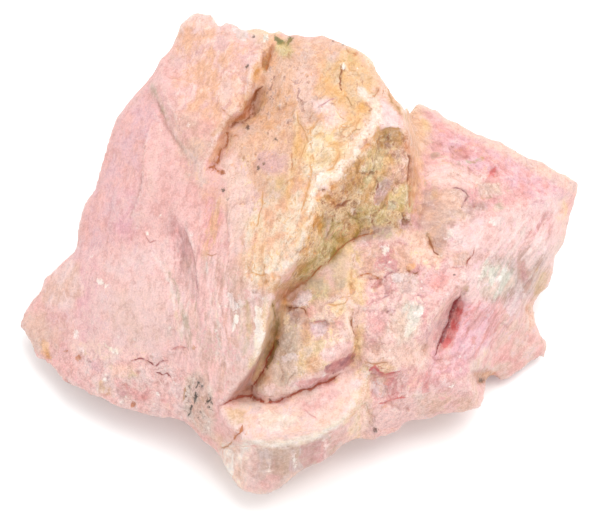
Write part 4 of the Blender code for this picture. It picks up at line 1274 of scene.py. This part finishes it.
# %% Outlined grains
OUTLINED = {
    "ledge, pink patch": ("blush rose", 0.55, "288,404 306,400 320,394 334,388 342,392 334,400 322,408 "
        "306,414 300,408"),
    "ledge, tan patch": ("tan shell", 0.4, "226,412 238,407 247,412 243,422 236,428 230,424"),
    "ledge, porcelain": ("white ivory", 0.45, "258,414 272,410 290,414 300,420 290,428 272,432 260,426"),
    "bright flake": ("petal shell", 0.6, "226,72 231,74 231,80 238,78 243,84 239,92 232,97 231,104 226,108 "
        "220,104 218,94 221,82"),
    "flake, warm side": ("shell peach", 0.35, "233,97 240,93 240,104 236,112 229,117 224,110 231,105"),
    "crack wall, top": ("umber amber", 0.85, "272,48 270,60 268,70 264,74 261,68 263,60 267,51"),
    "crack wall, patch": ("apricot amber", 0.5, "252,76 259,77 258,82 252,83"),
    "crack wall, middle": ("copper clay", 0.8, "263,87 256,90 250,95 246,104 241,113 235,118 232,124 "
        "240,122 247,118 252,111 254,102"),
    "crack wall, low": ("clay peach", 0.65, "227,131 224,130 221,141 217,150 213,160 210,166 216,162 "
        "219,154 224,147"),
    "crack shoulder": ("apricot clay", 0.5, "222,118 232,122 228,130 219,131 215,126"),
    "top, bluish": ("lilac ash", 0.9, "232,31 240,27 247,30 249,38 243,41 236,38"),
    "top, greenish": ("mint white", 0.9, "262,34 268,35 269,41 264,42"),
    "olive patch": ("straw moss", 0.35, "276,44 290,43 291,50 286,57 279,56 275,50"),
    "olive patch, left": ("fern moss", 0.85, "273,35 279,35 281,41 286,42 287,46 280,46 275,41"),
    "olive patch, right": ("fern moss", 0.95, "286,43 287,38 291,34 295,34 291,42 288,46"),
    "vein": ("white ivory", 0.55, "370,99 376,100 380,108 379,116 380,122 378,125 375,124 372,131 370,136 "
        "365,139 363,147 359,151 358,158 355,160 353,155 353,149 354,142 357,137 361,132 367,127 369,120 "
        "370,112 371,106"),
    "vein, low": ("white ivory", 0.8, "340,160 345,163 342,170 340,176 334,178 326,180 320,185 317,192 "
        "314,198 312,205 309,213 306,214 309,203 311,193 313,186 316,179 320,173 330,173 336,169 338,163"),
    "tan edge": ("tan honey", 0.75, "377,125 381,130 377,137 372,143 368,153 362,167 357,165 362,155 "
        "366,144 372,137 375,131"),
    "tan edge, low": ("honey tan", 0.6, "346,163 352,160 356,168 350,178 343,184 342,176"),
    "crest shade": ("ash taupe", 0.7, "383,102 388,108 388,118 385,125 382,116"),
    "crest crystals": ("petal lilac", 0.6, "379,99 386,104 392,111 398,118 400,127 390,128 383,130 380,127 "
        "383,120 381,110"),
    "cream block": ("ivory cream", 0.6, "314,142 322,138 334,146 337,152 334,164 326,169 318,167 313,156"),
    "ochre cell": ("honey ochre", 0.6, "357,104 362,101 368,104 370,110 364,115 357,112"),
    "pale cell": ("petal shell", 0.6, "311,101 326,98 331,101 322,106 314,110"),
    "pale cell, low": ("shell petal", 0.5, "322,124 336,120 340,127 330,133 322,132"),
    "mauve dapple": ("taupe beige", 0.5, "332,130 338,131 339,139 334,140"),
    "ochre patch": ("apricot honey", 0.4, "311,84 320,81 332,85 334,94 320,98 311,95"),
    "tan beside the crack": ("tan sand", 0.5, "333,66 340,63 340,80 336,80"),
    "olive tan": ("tan olive", 0.6, "347,55 354,57 353,62 348,62"),
    "crystal_and_glint": ("white ivory", 0.95, "341,64 344,62 347,66 345,70 341,70"),
    "amber line": ("amber honey", 0.8, "374,87 377,88 377,94 374,99 371,98 374,94"),
    "rust corner": ("amber rust", 0.7, "365,104 368,105 372,110 370,111"),
    # Painted shade: the next two grains put dark umber below the overhang at the top of the hollow.
    "brow": ("umber moss", 0.8, "380,133 387,129 395,128 403,129 401,136 392,136 386,141 379,140"),
    "brow, low": ("umber taupe", 0.8, "378,141 388,141 393,147 386,151 379,148"),
    "brow, tan": ("tan fawn", 0.6, "394,138 402,138 402,147 395,147"),
    "brow, mauve": ("taupe clay", 0.7, "389,150 398,149 401,158 394,160 388,156"),
    "olive face": ("straw khaki", 0.5, "366,150 376,147 382,155 380,168 370,172 363,164"),
    "rosy side": ("peach rose", 0.5, "392,168 404,165 408,174 400,180 392,178"),
    "mauve lens": ("taupe mauve", 0.75, "385,176 391,180 392,190 386,199 378,205 372,201 375,191 380,183"),
    "straw cell": ("straw cream", 0.6, "396,190 406,186 411,192 409,203 400,206 394,200"),
    "rust patch": ("amber rust", 0.8, "333,206 341,200 347,200 347,205 340,208 335,211"),
    "rust streak": ("amber rust", 0.7, "340,184 344,184 344,194 341,193"),
    "rust, left of a pair": ("rust umber", 0.65, "350,176 354,178 356,186 352,186"),
    "rust, right of a pair": ("rust umber", 0.65, "357,177 360,178 360,187 358,186"),
    "pale boss": ("ash straw", 0.7, "349,209 356,208 357,215 351,216"),
    "moss cell": ("moss lichen", 0.6, "356,206 362,207 362,213 357,212"),
    "lichen cell": ("lichen slate", 0.6, "384,203 394,200 396,208 387,211"),
    "dark end": ("umber bark", 0.8, "400,213 405,212 406,218 402,220"),
    "moss foot": ("umber moss", 0.6, "332,236 340,233 347,238 345,246 337,244"),
    "orange edge": ("amber apricot", 0.8, "409,178 415,178 416,187 410,187"),
    "rusty edge": ("apricot amber", 0.7, "412,164 417,167 419,180 417,196 412,200"),
    "mauve hollow": ("brick rose", 0.7, "449,151 457,147 470,150 470,158 458,160 450,157"),
    "grey hollow": ("taupe slate", 0.85, "427,156 433,152 440,150 440,157 433,160"),
    "moss stripe": ("lichen umber", 0.8, "465,160 472,161 478,158 484,158 481,162 474,165 467,164"),
    "red hollow": ("crimson rose", 0.9, "489,178 490,170 495,165 498,170 495,177"),
    "crescent": ("slate plum", 0.85, "461,188 467,189 470,193 467,198 464,196 465,192"),
    "plum slab": ("plum taupe", 0.8, "472,202 480,200 486,204 484,210 478,212 472,208"),
    "grey slab": ("ash taupe", 0.7, "483,182 500,182 501,192 486,194"),
    "tan slab": ("beige lichen", 0.75, "493,204 503,200 506,207 498,212 493,210"),
    "white slab": ("white petal", 0.7, "490,216 500,215 502,222 494,227 488,224"),
    "white step": ("white ash", 0.8, "445,231 452,229 454,236 447,239"),
    "tan column": ("tan lichen", 0.4, "431,180 438,178 438,198 431,202"),
    "taupe facet": ("taupe fawn", 0.6, "430,218 446,216 447,232 443,247 438,253 434,248 431,238"),
    "dark mark": ("umber bark", 0.7, "425,234 428,233 429,238 426,238"),
    "fawn cell": ("fawn beige", 0.6, "452,252 466,251 473,256 466,266 453,267"),
    "mint streak a": ("mint white", 0.65, "487,260 490,262 484,276 478,288 476,286 482,272"),
    "mint streak b": ("mint white", 0.65, "492,266 496,268 495,284 491,286 489,276"),
    "white streak": ("white mint", 0.6, "502,268 506,268 503,278 499,282 498,276"),
    "mint streak c": ("mint petal", 0.5, "510,268 513,268 511,280 507,288 505,282"),
    "taupe front": ("taupe plum", 0.8, "518,262 524,257 528,268 534,274 532,284 522,284 517,276"),
    "straw rim": ("beige lichen", 0.4, "538,278 546,270 550,274 546,284 540,290 535,288"),
    "slit, lit wall": ("crimson rose", 0.85, "461,296 464,300 463,310 461,320 457,331 453,340 447,347 "
        "438,357 435,354 440,345 445,338 449,329 452,319 455,309 458,301"),
    "slit, left wall": ("rose blush", 0.6, "460,288 462,293 455,298 450,305 446,317 441,330 436,344 431,340 "
        "437,324 444,306 452,294"),
    # Painted shade: the darker wall of the slit, across from its lit wall.
    "slit, shaded side": ("mulberry crimson", 0.8, "459,295 456,299 451,309 448,320 444,331 439,341 435,354 "
        "440,347 445,340 449,332 452,322 455,310 459,301"),
    "lilac lens": ("lilac mauve", 0.6, "503,302 513,295 523,288 527,296 518,310 510,319 506,312"),
    "orchid streak": ("plum orchid", 0.4, "470,318 478,308 484,312 478,328 470,332"),
    "recess, amber": ("clay apricot", 0.8, "486,375 498,371 500,377 491,381 485,379"),
    # Painted shadow: the darkest spot deep in the recess beside the lump.
    "recess, dark": ("bark umber", 0.85, "480,380 488,381 487,385 481,384"),
    "brown corner": ("umber taupe", 0.6, "464,286 469,284 470,291 465,293"),
    # Painted highlight: white along the thin rib on the wedge, where it catches the light.
    "sliver, top": ("white petal", 0.95, "227,293 232,292 236,300 241,307 235,312 229,304"),
    "sliver, low": ("white ivory", 0.95, "236,312 240,314 238,323 234,331 231,329 235,320"),
    "cream streak": ("white ivory", 0.85, "254,304 262,308 264,330 262,350 257,358 253,340 254,322"),
    "ochre crust": ("honey ivory", 0.55, "262,276 272,272 281,277 284,284 272,288 262,286"),
    "shaded rim": ("taupe tan", 0.35, "268,302 274,300 276,320 273,338 266,346 267,328"),
    "overhang": ("clay umber", 0.8, "275,292 285,287 297,285 307,280 300,288 290,294 280,302 274,304"),
    # Painted shade: moss and bark in the cleft, a stain with the shade in the cleft laid into it.
    "cleft, olive": ("moss bark", 0.9, "275,337 279,342 276,352 271,362 267,370 264,368 268,356 271,346"),
    "cleft, foot": ("umber sienna", 0.6, "254,377 262,371 269,376 262,386 254,388"),
    "wedge foot": ("taupe clay", 0.6, "240,384 250,372 258,368 254,380 250,390 240,394 232,395"),
    "lilac plate": ("lilac petal", 0.75, "302,289 310,290 312,300 306,307 292,308 290,302 297,295"),
    "grey plate": ("taupe grey", 0.7, "287,310 303,309 306,316 302,324 290,322"),
    "mauve plate": ("mauve lilac", 0.85, "308,321 314,323 320,321 328,321 328,326 324,334 316,337 311,331"),
    "cell a": ("cream ash", 0.7, "282,316 289,314 290,330 284,334"),
    "cell b": ("sand fawn", 0.65, "300,330 309,328 311,340 302,345"),
    "cell c": ("straw cream", 0.65, "313,340 323,338 325,349 314,353"),
    "cell d": ("cream ivory", 0.75, "329,303 344,300 349,312 334,317"),
    "cell e": ("shell petal", 0.7, "339,330 351,328 351,338 340,341"),
    "cell f": ("beige rose", 0.65, "305,306 315,304 319,316 308,318"),
    "cell g": ("petal beige", 0.6, "262,386 272,382 280,390 268,396"),
    "cell h": ("ash lilac", 0.6, "290,364 298,366 298,376 290,374"),
    "pink dapple": ("rose blush", 0.6, "334,320 341,320 346,326 340,331 334,327"),
    "olive grey": ("lichen slate", 0.4, "282,332 296,330 300,342 296,351 284,351 279,344"),
    "lilac boss": ("lilac ash", 0.7, "280,355 290,353 299,354 298,361 284,363"),
    "blue grey": ("slate lichen", 0.4, "277,373 288,371 289,384 280,387"),
    "cream cell": ("cream ash", 0.6, "300,352 307,352 306,368 300,373 298,364"),
    "peach cell": ("apricot peach", 0.65, "308,358 320,357 321,370 312,376 308,370"),
    "pink slope": ("blush pink", 0.65, "322,350 336,342 352,340 353,350 340,356 326,363 321,360"),
    "undercut": ("mulberry brick", 0.8, "322,368 334,360 345,357 352,352 356,351 355,359 349,366 341,371 "
        "333,373 326,371"),
    "low edge": ("rose brick", 0.6, "296,382 310,379 322,377 324,382 312,388 298,390"),
    "white dot": ("white ash", 0.95, "379,250 384,249 385,246 390,243 391,250 387,254 381,254"),
    "mauve facet": ("plum mauve", 0.85, "384,284 389,282 391,290 390,298 383,299 384,290"),
    "lilac slab": ("lilac ash", 0.7, "391,273 403,272 408,275 400,283 392,284"),
    "brick spot": ("brick rust", 0.8, "372,287 376,282 383,280 381,284 376,288"),
    "orange step": ("apricot honey", 0.8, "407,264 413,262 416,267 412,271 407,270"),
    "rose spot": ("rose brick", 0.6, "417,283 424,282 424,290 419,291"),
    "pale slab": ("white mint", 0.7, "420,305 425,308 416,325 410,338 404,336 405,325 412,316"),
    "brick knob": ("plum brick", 0.85, "369,371 374,365 380,371 386,377 379,379 372,375"),
    "brick line": ("brick rose", 0.7, "380,371 387,375 395,371 401,370 400,373 392,378 384,377"),
    "mauve in the fold": ("mauve plum", 0.7, "371,389 379,387 379,395 372,397"),
    "brick in the fold": ("crimson brick", 0.55, "387,382 393,378 399,383 397,389 401,393 395,399 390,396"),
    "crimson band": ("brick crimson", 0.6, "422,387 425,373 430,373 429,394 423,394"),
    "white vein": ("petal ivory", 0.6, "365,402 368,403 366,420 362,422"),
    "front white a": ("white petal", 0.8, "266,465 270,464 270,471 267,472"),
    "front white b": ("white petal", 0.8, "292,452 295,453 297,468 294,469"),
    "front white d": ("white petal", 0.7, "323,439 326,438 328,447 325,449"),
    "front grey": ("taupe grey", 0.35, "276,452 290,449 290,474 282,480 276,470"),
    "front mauve": ("plum taupe", 0.7, "301,445 323,438 320,458 304,468 299,460"),
    "front pink": ("pink rose", 0.6, "330,434 345,424 350,434 340,444 330,450"),
    "foot pink": ("pink rose", 0.5, "256,482 270,474 284,476 276,488 262,491"),
    "white grain, left": ("white ivory", 0.9, "104,341 112,347 119,350 117,355 110,352 103,345"),
    "white grain, tip": ("white petal", 0.7, "74,328 78,330 77,339 73,338"),
    "ivory grain": ("white petal", 0.5, "75,347 83,346 83,353 77,354"),
    "white grain, up": ("white petal", 0.85, "95,279 101,279 108,284 106,288 98,284"),
    "orange edge, left": ("apricot honey", 0.8, "42,336 48,343 50,362 44,355 39,344"),
    "brown arc": ("brick fawn", 0.6, "172,349 180,345 188,349 180,350"),
    "foot white": ("white petal", 0.85, "171,376 174,378 176,386 173,384"),
    "foot brick a": ("brick beige", 0.55, "120,388 127,383 129,392 123,398 119,396"),
    "foot brick b": ("brick fawn", 0.6, "139,398 146,395 150,399 143,401"),
    "foot brick c": ("brick rose", 0.55, "156,399 164,398 170,401 162,403"),
    "foot tan": ("tan beige", 0.5, "98,380 104,382 104,395 98,396"),
}
SPOTS = {
    "white": "187,125,1.6 181,119,1.4 159,215,1.5 147,233,1.5 192,235,1.6 91,256,1.6 170,328,1.6 "
        "134,340,2.2 355,70,1.4 119,336,1.6 268,262,1.8 284,258,1.6 225,305,2.0 321,110,1.6 327,104,1.4 "
        "296,352,1.2 246,263,1.8 247,271,2.0 105,380,2.2 324,373,2.0 452,387,2.0 460,357,1.6 158,394,2.0 "
        "307,56,1.4 222,306,1.6 264,298,2.0 216,330,1.2 122,402,1.8",
    "copper": "65,351,2.4 78,358,3.0 132,406,2.8",
    "amber": "355,55,2.8 352,67,1.6 344,136,1.8 350,118,1.7 305,195,1.6 272,47,2.2 300,168,1.5 193,348,2.2 "
        "357,124,1.5 316,132,1.5",
    "rust": "323,190,1.9 271,47,1.4 370,110,1.5 346,192,1.5 222,173,2.4 354,239,2.0 286,307,2.4 341,234,1.8 "
        "417,273,2.0 124,386,1.5 142,398,1.4",
    # Of the soot spots, the one at 484,381 is painted shadow deep in the recess beside the lump.
    "soot": "247,66,2.6 248,127,2.4 275,140,2.4 259,159,2.0 258,168,2.2 264,163,1.6 253,36,1.5 343,46,2.4 "
        "333,40,1.6 376,430,2.0 374,432,1.3 206,395,1.6 209,407,2.0 212,403,1.4 196,411,1.3 186,397,1.5 "
        "203,386,1.1 205,411,1.4 201,413,1.2 200,96,1.2 454,275,1.3 484,381,1.8 269,399,1.8 223,191,2.0 "
        "229,198,1.4",
    "taupe": "306,58,1.9 245,148,1.7 236,48,1.8 210,116,1.7 153,357,2.0 137,371,1.8 141,371,1.8 192,28,1.6 "
        "280,98,1.4 216,420,1.5 222,424,1.5",
}
REACH = 6.0
SPOT_STRENGTH = 0.8
MOTTLED = (-0.15, 0.15)
MOTTLE_STRENGTH = 0.7
grain_gap = np.full(len(places), -REACH)
grain_colour = np.zeros((len(places), 3))
cloud = eased(swell(places, 0.9 * MM, octaves=3, seat=4.4), *MOTTLED)


def outline_grain(depth, close, colours, strength):
    """Keeps a grain on the vertices that lie deeper inside it than inside any other."""
    chosen = np.flatnonzero(close)
    deeper = depth > grain_gap[chosen]
    grain_gap[chosen[deeper]] = depth[deeper]
    mixed = strength * colours + (1 - strength) * paints[0]
    grain_colour[chosen[deeper]] = mixed[chosen[deeper]]


for pair, strength, path in OUTLINED.values():
    first, second = (pigment(name) for name in pair.split())
    close = near(flat, corners(path), REACH)
    mottled = first + MOTTLE_STRENGTH * cloud[:, None] * (second - first)
    outline_grain(depth_inside(flat[close], corners(path)), close, mottled, strength)
for name, circles in SPOTS.items():
    for across, down, radius in corners(circles):
        close = near(flat, np.array([(across, down)]), REACH)
        depth = radius - from_point(flat[close], across, down)
        outline_grain(depth, close, pigment(name), SPOT_STRENGTH)
grain_gap = (grain_gap + REACH) * seen - REACH
store("grain_gap", grain_gap)
store("grain_colour", grain_colour, "FLOAT_COLOR")
print(len(OUTLINED), "outlined grains, and with the spots", int((grain_gap > 0).sum()), "vertices inside")

# %% [markdown]
# ## Thin lines that stay thin
#
# A crack is a tenth of a millimetre wide, less than the mesh can hold as colour. The trick is to store how
# far each vertex is from the crack, with its side as the sign: such a distance runs straight from vertex
# to vertex, so the shader finds the line sharply between them. The crack's width and pigment go with it.

# %% Distances to the cracks
crack_gap = np.full(len(places), REACH)
crack_width = np.zeros(len(places))
crack_colour = np.tile(pigment("rust"), (len(places), 1))
for width, _, stain, path in CRACKS.values():
    close, distance, side, along = beside(flat, path, REACH)
    nearer = distance < np.abs(crack_gap[close])
    chosen = np.flatnonzero(close)[nearer]
    crack_gap[chosen] = (side * distance)[nearer]
    reached = (distance < REACH - 1) & (along > 0) & (along < 1)
    half_width = 0.5 * width * tapered(along, quickness=6, least=0) * reached
    crack_width[chosen] = half_width[nearer] * seen[chosen]
    crack_colour[chosen] = pigment(stain)
store("crack_gap", crack_gap)
store("crack_width", crack_width)
store("crack_colour", crack_colour, "FLOAT_COLOR")
print("vertices close to a crack:", int((crack_width > 0).sum()))

# %% [markdown]
# ## The finish of broken thulite
#
# Close up, the stone is a felt of tiny prisms: satiny along the fibres, sugary across them, with rust in
# the seams between the plates. The material picks a pigment for each grain, then adds what is finer than
# the mesh. It also paints light and shade into the colour: white glints where the crystals catch the light,
# a pale highlight on sharp edges, which are partly rubbed pale as well, and on the rims of the terraces,
# and shade in the hollows. Everything is read at the place that a grain had before the break, or at the
# place of its plate, so colour and shape agree.

# %% A kit for the material
stone_finish.use_nodes = True
finish = stone_finish.node_tree


def stored(name, output="Fac"):
    return tree_node(finish, "ShaderNodeAttribute", attribute_name=name).outputs[output]


def plus(*values):
    return chain(finish, "ADD", *values)


def times(*values):
    return chain(finish, "MULTIPLY", *values)


def minus(value, taken):
    return maths(finish, "SUBTRACT", value, taken)


def either(*values):
    return chain(finish, "MAXIMUM", *values)


def noise_at(vector, width, detail, roughness=0.6):
    return tree_node(finish, "ShaderNodeTexNoise", {
        "Vector": vector, "Scale": 1 / width, "Detail": detail, "Roughness": roughness,
    }).outputs["Fac"]


def cells_at(vector, width, feature="F1"):
    wanted = {"Vector": vector, "Scale": 1 / width}
    return tree_node(finish, "ShaderNodeTexVoronoi", wanted, feature=feature).outputs


def fitted(value, low, high, to_low=0.0, to_high=1.0):
    """The value, brought from between low and high to between the other two, with eased ends."""
    return tree_node(finish, "ShaderNodeMapRange", {
        "Value": value, "From Min": low, "From Max": high, "To Min": to_low, "To Max": to_high,
    }, interpolation_type="SMOOTHSTEP").outputs["Result"]


def swung(noise_value, low, high):
    """Noise, which lies mostly between 0.3 and 0.7, brought to between low and high."""
    return fitted(noise_value, 0.3, 0.7, low, high)


def mix(share, first, second, blend="MIX"):
    made = tree_node(finish, "ShaderNodeMix", data_type="RGBA", blend_type=blend, clamp_factor=True)
    for slot, value in (("Factor_Float", share), ("A_Color", first), ("B_Color", second)):
        socket = next(item for item in made.inputs if item.identifier == slot)
        if isinstance(value, bpy.types.NodeSocket):
            finish.links.new(value, socket)
        else:
            socket.default_value = value
    return next(item for item in made.outputs if item.identifier == "Result_Color")


def flat_colour(name):
    return (*pigment(name), 1.0)


# %% The patterns that everything is made of
BLOTCH = 1.6 * MM
GRAIN = 0.60 * MM
SPECKLE = 0.17 * MM
FIBRE = 0.30 * MM
LONG_FIBRE = 1.3 * MM
CELL = 0.40 * MM
place = stored("rest_place", "Vector")
plates = stored("plate_spot", "Vector")
fibre_place = stored("fibre_place", "Vector")
platy, sugary, rusty = stored("plate_share"), stored("sugar_share"), stored("rust_share")
fibrous = stored("fibre_share")
blotch = noise_at(plates, BLOTCH, 6.0)
grain_noise = noise_at(plates, GRAIN, 5.0, 0.72)
speckle = noise_at(place, SPECKLE, 3.0, 0.7)
fibres = noise_at(fibre_place, FIBRE, 4.0)
long_fibres = noise_at(fibre_place, LONG_FIBRE, 4.0, 0.65)
cells = cells_at(place, CELL)
dice = tree_node(finish, "ShaderNodeSeparateColor", {0: cells["Color"]}).outputs
print("patterns:", len(finish.nodes), "nodes so far")

# %% The pigment of each grain, and the outlined grains over it
MIDDLE = 0.505
coarse = fitted(platy, 0.14, 0.36, 0.78, 1.3)
softness = times(fitted(platy, 0.14, 0.36, 0.13, 0.018), fitted(fibrous, 0.4, 1.0, 1.0, 0.35))
cloudy = fitted(fibrous, 0.85, 0.35)
pick = plus(times(blotch, cloudy), times(long_fibres, minus(1.0, cloudy)))
colour = mix(fitted(pick, minus(MIDDLE, softness), plus(MIDDLE, softness)),
             stored("paint", "Color"), stored("second_paint", "Color"))
rare = fitted(plus(grain_noise, times(blotch, 0.25)), 0.685, 0.735)
colour = mix(times(rare, coarse), colour, stored("rare_paint", "Color"))
edge = plus(swung(grain_noise, -1.6, 1.6), swung(speckle, -0.8, 0.8))
outlined = fitted(plus(stored("grain_gap"), edge), -0.4, 1.2)
colour = mix(outlined, colour, stored("grain_colour", "Color"))

# %% Light and dark grains, streaks, and a tint that shifts
BRIGHTNESS = 0.958
SATURATION = 1.01
grainy = times(plus(swung(grain_noise, -0.16, 0.14), swung(speckle, -0.12, 0.12)), coarse)
streaks = times(plus(swung(fibres, -0.06, 0.06), swung(long_fibres, -0.05, 0.05)), fibrous, 1.5)
grain_jump = times(minus(dice["Blue"], 0.5), fitted(sugary, 0.0, 0.9, 0.05, 0.20))
tint = plus(times(blotch, 0.5), times(grain_noise, 0.5))
colour = tree_node(finish, "ShaderNodeHueSaturation", {
    "Color": colour,
    "Value": plus(BRIGHTNESS, grainy, streaks, grain_jump),
    "Saturation": plus(SATURATION, times(fitted(tint, 0.38, 0.62, 0.16, -0.16), coarse)),
}).outputs["Color"]

# %% Painted glints, rusty grains, mottling and soot
MOTTLE = 0.55 * MM
SOOT_STEP = 0.85 * MM
RUSTY_STRENGTH = 0.6
SOOT_STRENGTH = 0.75
broken_round = plus(cells["Distance"], swung(speckle, -0.22, 0.22))
# Painted glints: white flecks on single grains, most on the sugary crest, for light glinting off the
# crystals.
crystal_and_glint = times(fitted(dice["Red"], 0.86, 0.95), fitted(broken_round, 0.42, 0.22),
                fitted(blotch, 0.46, 0.60, 0.1, 0.8), fitted(sugary, 0.1, 0.6, 0.35, 1.0))
colour = mix(crystal_and_glint, colour, flat_colour("white"))
rusty_grain = times(fitted(dice["Green"], 0.93, 0.98), fitted(broken_round, 0.36, 0.16),
                    rusty, RUSTY_STRENGTH)
colour = mix(rusty_grain, colour, flat_colour("amber"))
mottle = times(fitted(noise_at(place, MOTTLE, 6.0, 0.78), 0.52, 0.60), fitted(rusty, 0.6, 1.0, 0.0, 0.45))
colour = mix(mottle, colour, flat_colour("tan"), "MULTIPLY")
sooty = plus(noise_at(place, SOOT_STEP, 6.0, 0.82), times(stored("soot_share"), 0.13))
colour = mix(times(fitted(sooty, 0.70, 0.74), SOOT_STRENGTH), colour, flat_colour("soot"))

# %% Rust in the seams, and a painted highlight on the rim of each terrace step
LIP_HIGHLIGHT_STRENGTH = 0.5
seam_gap = cells_at(plates, BREAK_SIZES["Plate width"], "DISTANCE_TO_EDGE")["Distance"]
chip_gap = cells_at(plates, BREAK_SIZES["Chip width"], "DISTANCE_TO_EDGE")["Distance"]
terrace = maths(finish, "FRACT", stored("terrace"))
foot = times(fitted(terrace, TERRACE_SCARP - 0.12, TERRACE_SCARP),
             fitted(terrace, 0.86, TERRACE_SCARP + 0.02))
lip_highlight = fitted(terrace, 0.92, 0.995)
seams = either(fitted(seam_gap, 0.045, 0.008), times(fitted(chip_gap, 0.06, 0.01), 0.55), times(foot, 0.8))
stain = times(seams, fitted(grain_noise, 0.48, 0.62), fitted(rusty, 0.05, 0.9, 0.03, 0.9))
colour = mix(stain, colour, mix(fitted(blotch, 0.48, 0.54), flat_colour("honey"), flat_colour("rust")))
# Painted highlight: ivory along the upper rim of each terrace step, where the light catches it.
colour = mix(times(lip_highlight, platy, fitted(speckle, 0.4, 0.6), LIP_HIGHLIGHT_STRENGTH), colour, flat_colour("ivory"))

# %% Hollows with stain and painted shade, and edges with a painted highlight
# Painted shade: honey darkens the near hollows, partly as their rust stain, partly as the shade that falls in
# them.
deep = times(fitted(stored("near_hollow"), 0.10, 0.9), fitted(rusty, 0.0, 1.0, 0.16, 0.55))
colour = mix(deep, colour, flat_colour("honey"), "MULTIPLY")
# Painted shade: sand darkens the wide hollows.
shade = fitted(stored("wide_hollow"), 1.0, 7.0, 0.0, 0.30)
colour = mix(shade, colour, flat_colour("sand"), "MULTIPLY")
# Painted highlight: sharp edges turn whitish, partly as rubbed-pale mineral, partly as light caught on them.
rubbed_and_highlit_edges = times(fitted(stored("near_hollow"), -0.15, -1.0), fitted(speckle, 0.35, 0.6, 0.05, 0.32))
colour = mix(rubbed_and_highlit_edges, colour, flat_colour("white"))

# %% The cracks, each a thin line in a wider stain
LINE_BREAKS = 0.7 * MM
LINE_STRENGTH = 0.85
width = stored("crack_width")
ragged = times(width, fitted(grain_noise, 0.35, 0.65, 0.35, 1.6))
gap = maths(finish, "DIVIDE", maths(finish, "ABSOLUTE", stored("crack_gap")), plus(ragged, 0.001))
present = fitted(plus(noise_at(place, LINE_BREAKS, 2.0), times(width, 0.16)), 0.46, 0.60)
line = times(fitted(gap, 1.7, 0.5), fitted(width, 0.02, 0.25), present)
halo = times(fitted(gap, 4.5, 0.5), fitted(width, 0.02, 0.25), fitted(grain_noise, 0.35, 0.6, 0.10, 0.40))
colour = mix(halo, colour, stored("crack_colour", "Color"))
colour = mix(times(line, LINE_STRENGTH), colour, stored("crack_colour", "Color"))

# %% Satin, light that sinks in, and relief finer than the mesh
SATIN = 0.5 * MM
BUMP_HEIGHT = 0.12 * MM
roughness = swung(noise_at(fibre_place, SATIN, 3.0), 0.38, 0.68)
domes = times(minus(0.6, cells["Distance"]), sugary, 0.5)
relief = plus(times(fibres, fibrous, 0.45), times(grain_noise, 0.7), times(speckle, 0.5), domes)
relief = minus(relief, times(line, 0.4))
bump = tree_node(finish, "ShaderNodeBump", {"Height": relief, "Strength": 1.0, "Distance": BUMP_HEIGHT})
shader = finish.nodes["Principled BSDF"]
finish.links.new(colour, shader.inputs["Base Color"])
finish.links.new(roughness, shader.inputs["Roughness"])
finish.links.new(bump.outputs["Normal"], shader.inputs["Normal"])
shader.inputs["Specular IOR Level"].default_value = 0.40
shader.inputs["Subsurface Weight"].default_value = 0.25
shader.inputs["Subsurface Radius"].default_value = (1.0, 0.55, 0.35)
shader.inputs["Subsurface Scale"].default_value = 0.45 * MM
stone.data.materials.clear()
stone.data.materials.append(stone_finish)
print("finish:", len(finish.nodes), "nodes")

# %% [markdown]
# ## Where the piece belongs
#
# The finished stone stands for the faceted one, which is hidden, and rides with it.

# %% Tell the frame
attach(stone, "root")
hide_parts(NODE)

# %% [markdown]
# ## Floor, light and camera
#
# The stone lies on a plain pale floor under a wide, soft light from above, to the right and a little
# behind. With a bright sky all round, only the places that see little of it turn dark: the clefts, the
# hollow, and the floor under the rim.

# %% The floor
FLOOR_SIDE = 3.0
FLOOR_COLOUR = (0.92, 0.92, 0.92, 1.0)
FLOOR_ROUGHNESS = 0.9
chalk = bpy.data.materials.new("pale_floor")
chalk.use_nodes = True
chalk_shader = chalk.node_tree.nodes["Principled BSDF"]
chalk_shader.inputs["Base Color"].default_value = FLOOR_COLOUR
chalk_shader.inputs["Roughness"].default_value = FLOOR_ROUGHNESS
ends = [(x * FLOOR_SIDE / 2, y * FLOOR_SIDE / 2, 0.0) for x, y in ((-1, -1), (1, -1), (1, 1), (-1, 1))]
floor_mesh = bpy.data.meshes.new("floor")
floor_mesh.from_pydata(ends, [], [(0, 1, 2, 3)])
floor_mesh.materials.append(chalk)
floor = bpy.data.objects.new("floor", floor_mesh)
bpy.context.scene.collection.objects.link(floor)

# %% The sky and the soft box
SKY_STRENGTH = 1.24
BOX_POWER = 2.5
BOX_PLACE = Vector((0.14, 0.08, 0.55))
BOX_AIM = Vector((0, 0, 0.01))
BOX_SIDE = 0.50
world = bpy.data.worlds.new("soft_sky")
world.use_nodes = True
sky = world.node_tree.nodes["Background"]
sky.inputs["Color"].default_value = (1.0, 1.0, 1.0, 1.0)
sky.inputs["Strength"].default_value = SKY_STRENGTH
bpy.context.scene.world = world
bpy.context.scene.view_settings.view_transform = "Standard"
box = bpy.data.lights.new("soft_box", "AREA")
box.shape = "SQUARE"
box.size = BOX_SIDE
box.energy = BOX_POWER
lamp = bpy.data.objects.new("soft_box", box)
lamp_turn = (BOX_AIM - BOX_PLACE).to_track_quat("-Z", "Y").to_matrix().to_4x4()
lamp.matrix_world = Matrix.Translation(BOX_PLACE) @ lamp_turn
bpy.context.scene.collection.objects.link(lamp)

# %% The camera: square to the sheet, and so far off that the sheet's tenths are the picture's own steps
CAMERA_DISTANCE = 2.0
SENSOR_WIDTH = 36.0
lens = bpy.data.cameras.new("camera")
lens.sensor_width = SENSOR_WIDTH
lens.lens = SENSOR_WIDTH * CAMERA_DISTANCE / SHEET_WIDTH
lens.clip_start = 0.01
eye = bpy.data.objects.new("camera", lens)
eye_turn = Matrix((RIGHT, UP, TO_EYE)).transposed().to_4x4()
eye.matrix_world = Matrix.Translation(SHEET_MIDDLE + TO_EYE * CAMERA_DISTANCE) @ eye_turn
bpy.context.scene.collection.objects.link(eye)
bpy.context.scene.camera = eye
